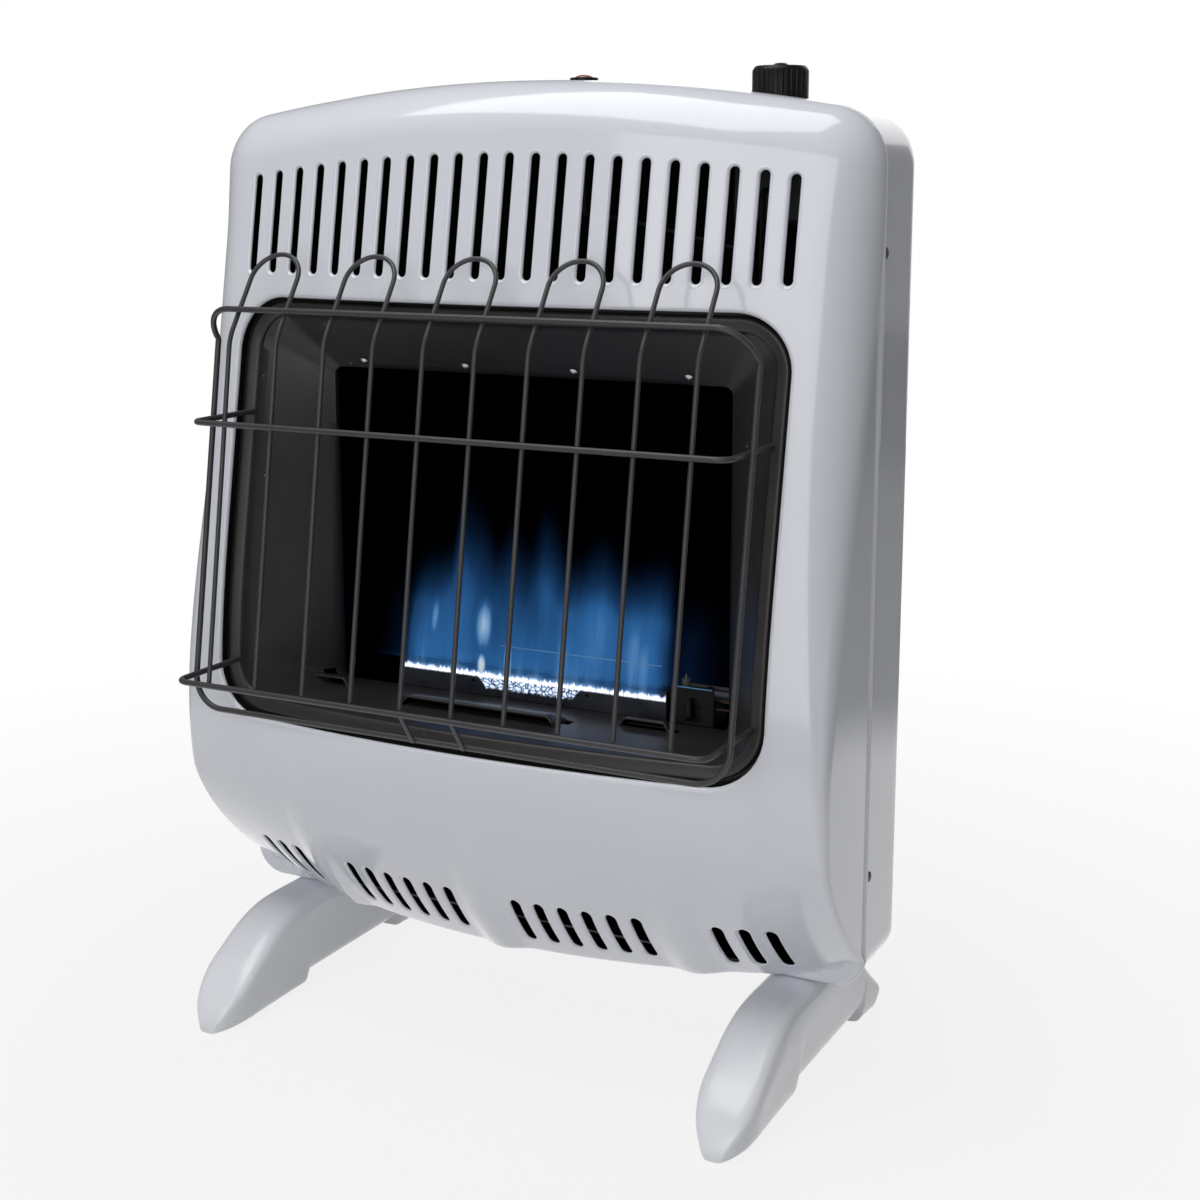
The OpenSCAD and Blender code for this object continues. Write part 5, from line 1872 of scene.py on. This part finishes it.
@dataclass
class Feet:
    """Two shoe-shaped feet with a crowned top, treads and a recess between them."""

    form: CasingForm
    pitch: float = 386.0
    width: float = 46.0
    front: float = -134.0
    back: float = 123.0
    top: float = 68.5
    rise: float = 0.62
    fall: float = 0.86
    nose_h: float = 17.0
    nose_round: float = 16.0
    nose_dip: float = 12.0
    instep: float = 6.0
    nose_len: float = 34.0
    nose_close: float = 0.9
    heel_h: float = 12.0
    heel_round: float = 4.0
    heel_len: float = 10.0
    heel_close: float = 0.25
    arch_h: float = 9.0
    arch_front: float = -38.0
    arch_rear: float = 89.0
    step_front: float = 4.0
    step_rear: float = 2.0
    heel_gap: float = 1.0
    square: float = 0.4
    crown: float = 0.5
    ease: float = 14.0
    narrow: float = 0.26
    sides: int = 88
    nose_steps: int = 24
    tread_steps: int = 24
    arch_steps: int = 40
    heel_steps: int = 20
    edge_mm: float = 0.9

    def _high(self, y: float) -> float:
        """Height of the foot's top along its length.

        Args:
            y: Place along the foot, from the seam.

        Returns:
            The height.
        """
        ahead, behind = y - self.front, self.back - y
        dip = 1.0 - math.sqrt(1.0 - (1.0 - min(1.0, ahead / self.nose_round)) ** 2)
        nose = (self.nose_h + self.rise * ahead + self.instep * smooth(ahead / self.nose_len)
                - self.nose_dip * dip)
        heel = self.heel_h + self.fall * behind + self.heel_round * smooth(behind / self.heel_len)
        return soft_min(soft_min(nose, heel, self.ease), self.top, self.ease)

    def _low(self, y: float) -> float:
        """Height of the recess under the foot.

        Args:
            y: Place along the foot, from the seam.

        Returns:
            The height.
        """
        ahead = min(1.0, max(0.0, (y - self.arch_front) / self.step_front))
        behind = min(1.0, max(0.0, (self.arch_rear - y) / self.step_rear))
        return self.arch_h * ahead * behind

    def _half(self, y: float) -> float:
        """Half the width of the foot along its length.

        Args:
            y: Place along the foot, from the seam.

        Returns:
            Half the width.
        """
        nose = 1.0 - min(1.0, (y - self.front) / self.nose_len)
        heel = 1.0 - min(1.0, (self.back - y) / self.heel_len)
        slim = math.sqrt(1.0 - self.nose_close * nose ** 2) * (1.0 - self.heel_close * heel ** 2)
        return self.width / 2.0 * slim

    def _ring(self, x: float, y: float) -> Ring:
        """Squared section of a foot, narrower below.

        Args:
            x: Middle of the foot.
            y: Place along it, from the seam.

        Returns:
            Points of the section.
        """
        high, low, half = self._high(y), self._low(y), self._half(y)
        ring = []
        for a in span(0.0, math.tau, self.sides):
            power = self.crown if math.sin(a) > 0.0 else self.square
            across, up = (math.copysign(abs(part) ** power, part)
                          for part in (math.cos(a), math.sin(a)))
            drop = (1.0 - up) / 2.0
            ring.append(Vector((x + half * across * (1.0 - self.narrow * drop),
                                self.form.seam_y + y, high + (low - high) * drop)))
        return ring

    def build(self) -> None:
        """Loft the feet."""
        tread = self.front + self.nose_len
        rear = self.arch_rear - self.step_rear
        steps = [self.front + self.nose_len * part ** 2 for part in span(0.0, 1.0, self.nose_steps)]
        steps += span(tread, self.arch_front, self.tread_steps, True)
        steps += span(self.arch_front + self.step_front, rear, self.arch_steps, True)
        steps += [self.arch_rear]
        steps += span(self.arch_rear + self.heel_gap, self.back, self.heel_steps, True)
        for side, node in zip(BOTH_SIDES, ("left_foot", "right_foot")):
            rings = [self._ring(side * self.pitch / 2.0, y) for y in steps]
            mesh = break_edges(close_solid(bent_sheet(rings)), self.edge_mm)
            make_piece(f"{node}_shoe", mesh, (FOOT_WHITE,), (node,), sharp_deg=40.0)


# Controls and the pieces inside


@dataclass
class Controls:
    """Knob and igniter, with the width of their broken edges."""

    pieces: tuple[tuple[str, Body, Finish, float], ...] = (
        ("control_knob", Body.KNOB, KNOB, 0.25), ("igniter_nut", Body.HEATER, KNOB, 0.4),
        ("igniter_button", Body.BUTTON, BUTTON, 0.0), ("igniter_body", Body.HEATER, KNOB, 0.0))

    def build(self) -> None:
        """Dress the control pieces."""
        for node, body, finish, bevel in self.pieces:
            make_piece(f"{node}_moulding", merged_copy(node, bevel), (finish,), (node,),
                       sharp_deg=28.0, body=body)


@dataclass
class Works:
    """CAD pieces whose shape is right and that only take a finish."""

    finishes: dict[Finish, tuple[str, ...]] = field(default_factory=lambda: {
        GUARD: ("casing_screws",),
        ZINC: ("firebox_rivets", "foot_screws"),
        DULL_SHADED_ZINC: ("chamber_bracket", "heat_shield", "injector_bracket"),
        DARKENED_STEEL: ("valve_bracket", "pilot_bracket", "pilot_burner"),
        CHAMBER_COAT_AND_SHADE: ("chamber_back_wall", "chamber_base", "chamber_ceiling", "chamber_left_wall",
                  "chamber_right_wall"),
        BURNER: ("burner", "mixer_tube"),
        BRASS: ("injector", "inlet_fitting", "valve_plunger"),
        SHADED_DIECAST: ("gas_valve", "regulator"),
        STEM: ("valve_stem",),
        DARKENED_COPPER: ("thermocouple", "thermocouple_lead", "pilot_tube"),
        PORCELAIN: ("spark_electrode",),
        PIPE: ("burner_pipe", "feed_pipe"),
        LEAD: ("ignition_wire",)})

    def build(self) -> None:
        """Give each CAD piece its finish."""
        for finish, nodes in self.finishes.items():
            for node in nodes:
                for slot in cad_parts[node].material_slots:
                    slot.material = PALETTE[finish]
                LOG.info("%s takes %s", node, finish.name)


# Studio


@dataclass(frozen=True)
class Lamp:
    """Square soft box: its place, aim and side in metres, and its power in watts."""

    name: str
    at: Triple
    aim: Triple
    size: float
    power: float

    def build(self) -> None:
        """Hang the lamp."""
        data = bpy.data.lights.new(self.name, "AREA")
        data.size = self.size
        data.energy = self.power
        lamp = linked(self.name, data)
        lamp.location = self.at
        way = Vector(self.aim) - Vector(self.at)
        lamp.rotation_euler = way.to_track_quat("-Z", "Y").to_euler()


@dataclass
class Studio:
    """Camera, floor, lamps and backdrop."""

    camera_at: Triple = (0.612, -1.0874, 0.5881)
    yaw_deg: float = 27.116
    pitch_deg: float = 10.645
    focal_px: float = 1877.8
    image_px: float = 1200.0
    sensor_mm: float = 36.0
    middle_y_px: float = 532.3
    view_end: float = 50.0
    floor_colour: Colour = (0.55, 0.55, 0.55)
    floor_roughness: float = 0.9
    floor_shine: float = 0.2
    floor_size: float = 6.0
    floor_drop: float = 0.0005
    floor_near: float = 0.25
    floor_far: float = 1.1
    floor_glow: float = 0.84
    ambient: float = 0.1
    mirrored: float = 0.16
    sheet_from: float = 0.85
    sheet_to: float = 1.05
    lamps: tuple[Lamp, ...] = (
        Lamp("top_box", (-0.35, -0.4, 2.2), (-0.1, 0.0, 0.4), 1.5, 24.0),
        Lamp("front_box", (0.4, -2.5, 0.6), (0.0, 0.0, 0.3), 2.4, 33.0),
        Lamp("rear_box", (-0.2, 2.5, 1.0), (0.0, 0.0, 0.3), 2.0, 15.0),
        Lamp("low_box", (1.1, -0.3, 0.1), (0.2, 0.0, 0.15), 0.5, 0.4))

    def _camera(self) -> None:
        """Set the camera as the photograph was taken."""
        data = bpy.data.cameras.new("camera")
        data.sensor_width = self.sensor_mm
        data.lens = self.focal_px / self.image_px * self.sensor_mm
        data.shift_y = (self.middle_y_px - self.image_px / 2.0) / self.image_px
        data.clip_end = self.view_end
        camera = linked("camera", data)
        camera.location = self.camera_at
        camera.rotation_euler = (math.radians(90.0 - self.pitch_deg), 0.0,
                                 math.radians(self.yaw_deg))
        bpy.context.scene.camera = camera

    def _world(self) -> None:
        """Even ambient light, and a white backdrop for the eye and, fainter, for reflections."""
        world = bpy.data.worlds.new("studio")
        graph = Graph(world)
        ambient, white = (graph.node("ShaderNodeBackground",
                                     {"Color": PURE_WHITE, "Strength": strength})
                          for strength in (self.ambient, 1.0))
        share = graph.seen_directly().most(graph.ray("Glossy") * self.mirrored)
        graph.surface(graph.mix(share, ambient, white))
        bpy.context.scene.world = world

    def _floor(self) -> None:
        """Pale floor with the shadow, which runs into the backdrop and mirrors as a sheet."""
        material = bpy.data.materials.new("studio_floor")
        graph = Graph(material)
        matt = graph.principled(Base_Color=self.floor_colour, Roughness=self.floor_roughness,
                                Specular_IOR_Level=self.floor_shine)
        white = graph.node("ShaderNodeEmission", {"Color": PURE_WHITE, "Strength": 1.0})
        reach = graph.node("ShaderNodeVectorMath", {0: graph.place()}, "Value",
                           operation="LENGTH")
        far = ((reach - self.floor_near) / (self.floor_far - self.floor_near)).clipped()
        share = graph.seen_directly() * (self.floor_glow + (1.0 - self.floor_glow) * far)
        run_out = (reach - self.sheet_from) / (self.sheet_to - self.sheet_from)
        mirror = graph.ray("Glossy") * (1.0 - run_out).clipped()
        graph.surface(graph.mix(share.most(mirror), matt, white))
        mesh = bmesh.new()
        bmesh.ops.create_grid(mesh, x_segments=1, y_segments=1, size=self.floor_size)
        bmesh.ops.translate(mesh, vec=Vector((0.0, 0.0, -self.floor_drop)), verts=mesh.verts)
        data = written("studio_floor", mesh)
        data.materials.append(material)
        floor = linked("studio_floor", data)

    def build(self) -> None:
        """Set up the studio."""
        bpy.context.scene.view_settings.view_transform = "Standard"
        self._camera()
        self._world()
        self._floor()
        for lamp in self.lamps:
            lamp.build()


def main() -> None:
    """Build the studio and every sub-assembly."""
    logging.basicConfig(level=logging.INFO, format="%(message)s")
    form = CasingForm()
    Studio().build()
    for assembly in (FrontCasing(form), RearCasing(form), Firebox(form), BurnerFlame(),
                     Guard(form), Feet(form), Controls(), Works()):
        assembly.build()


if __name__ == "__main__":
    main()
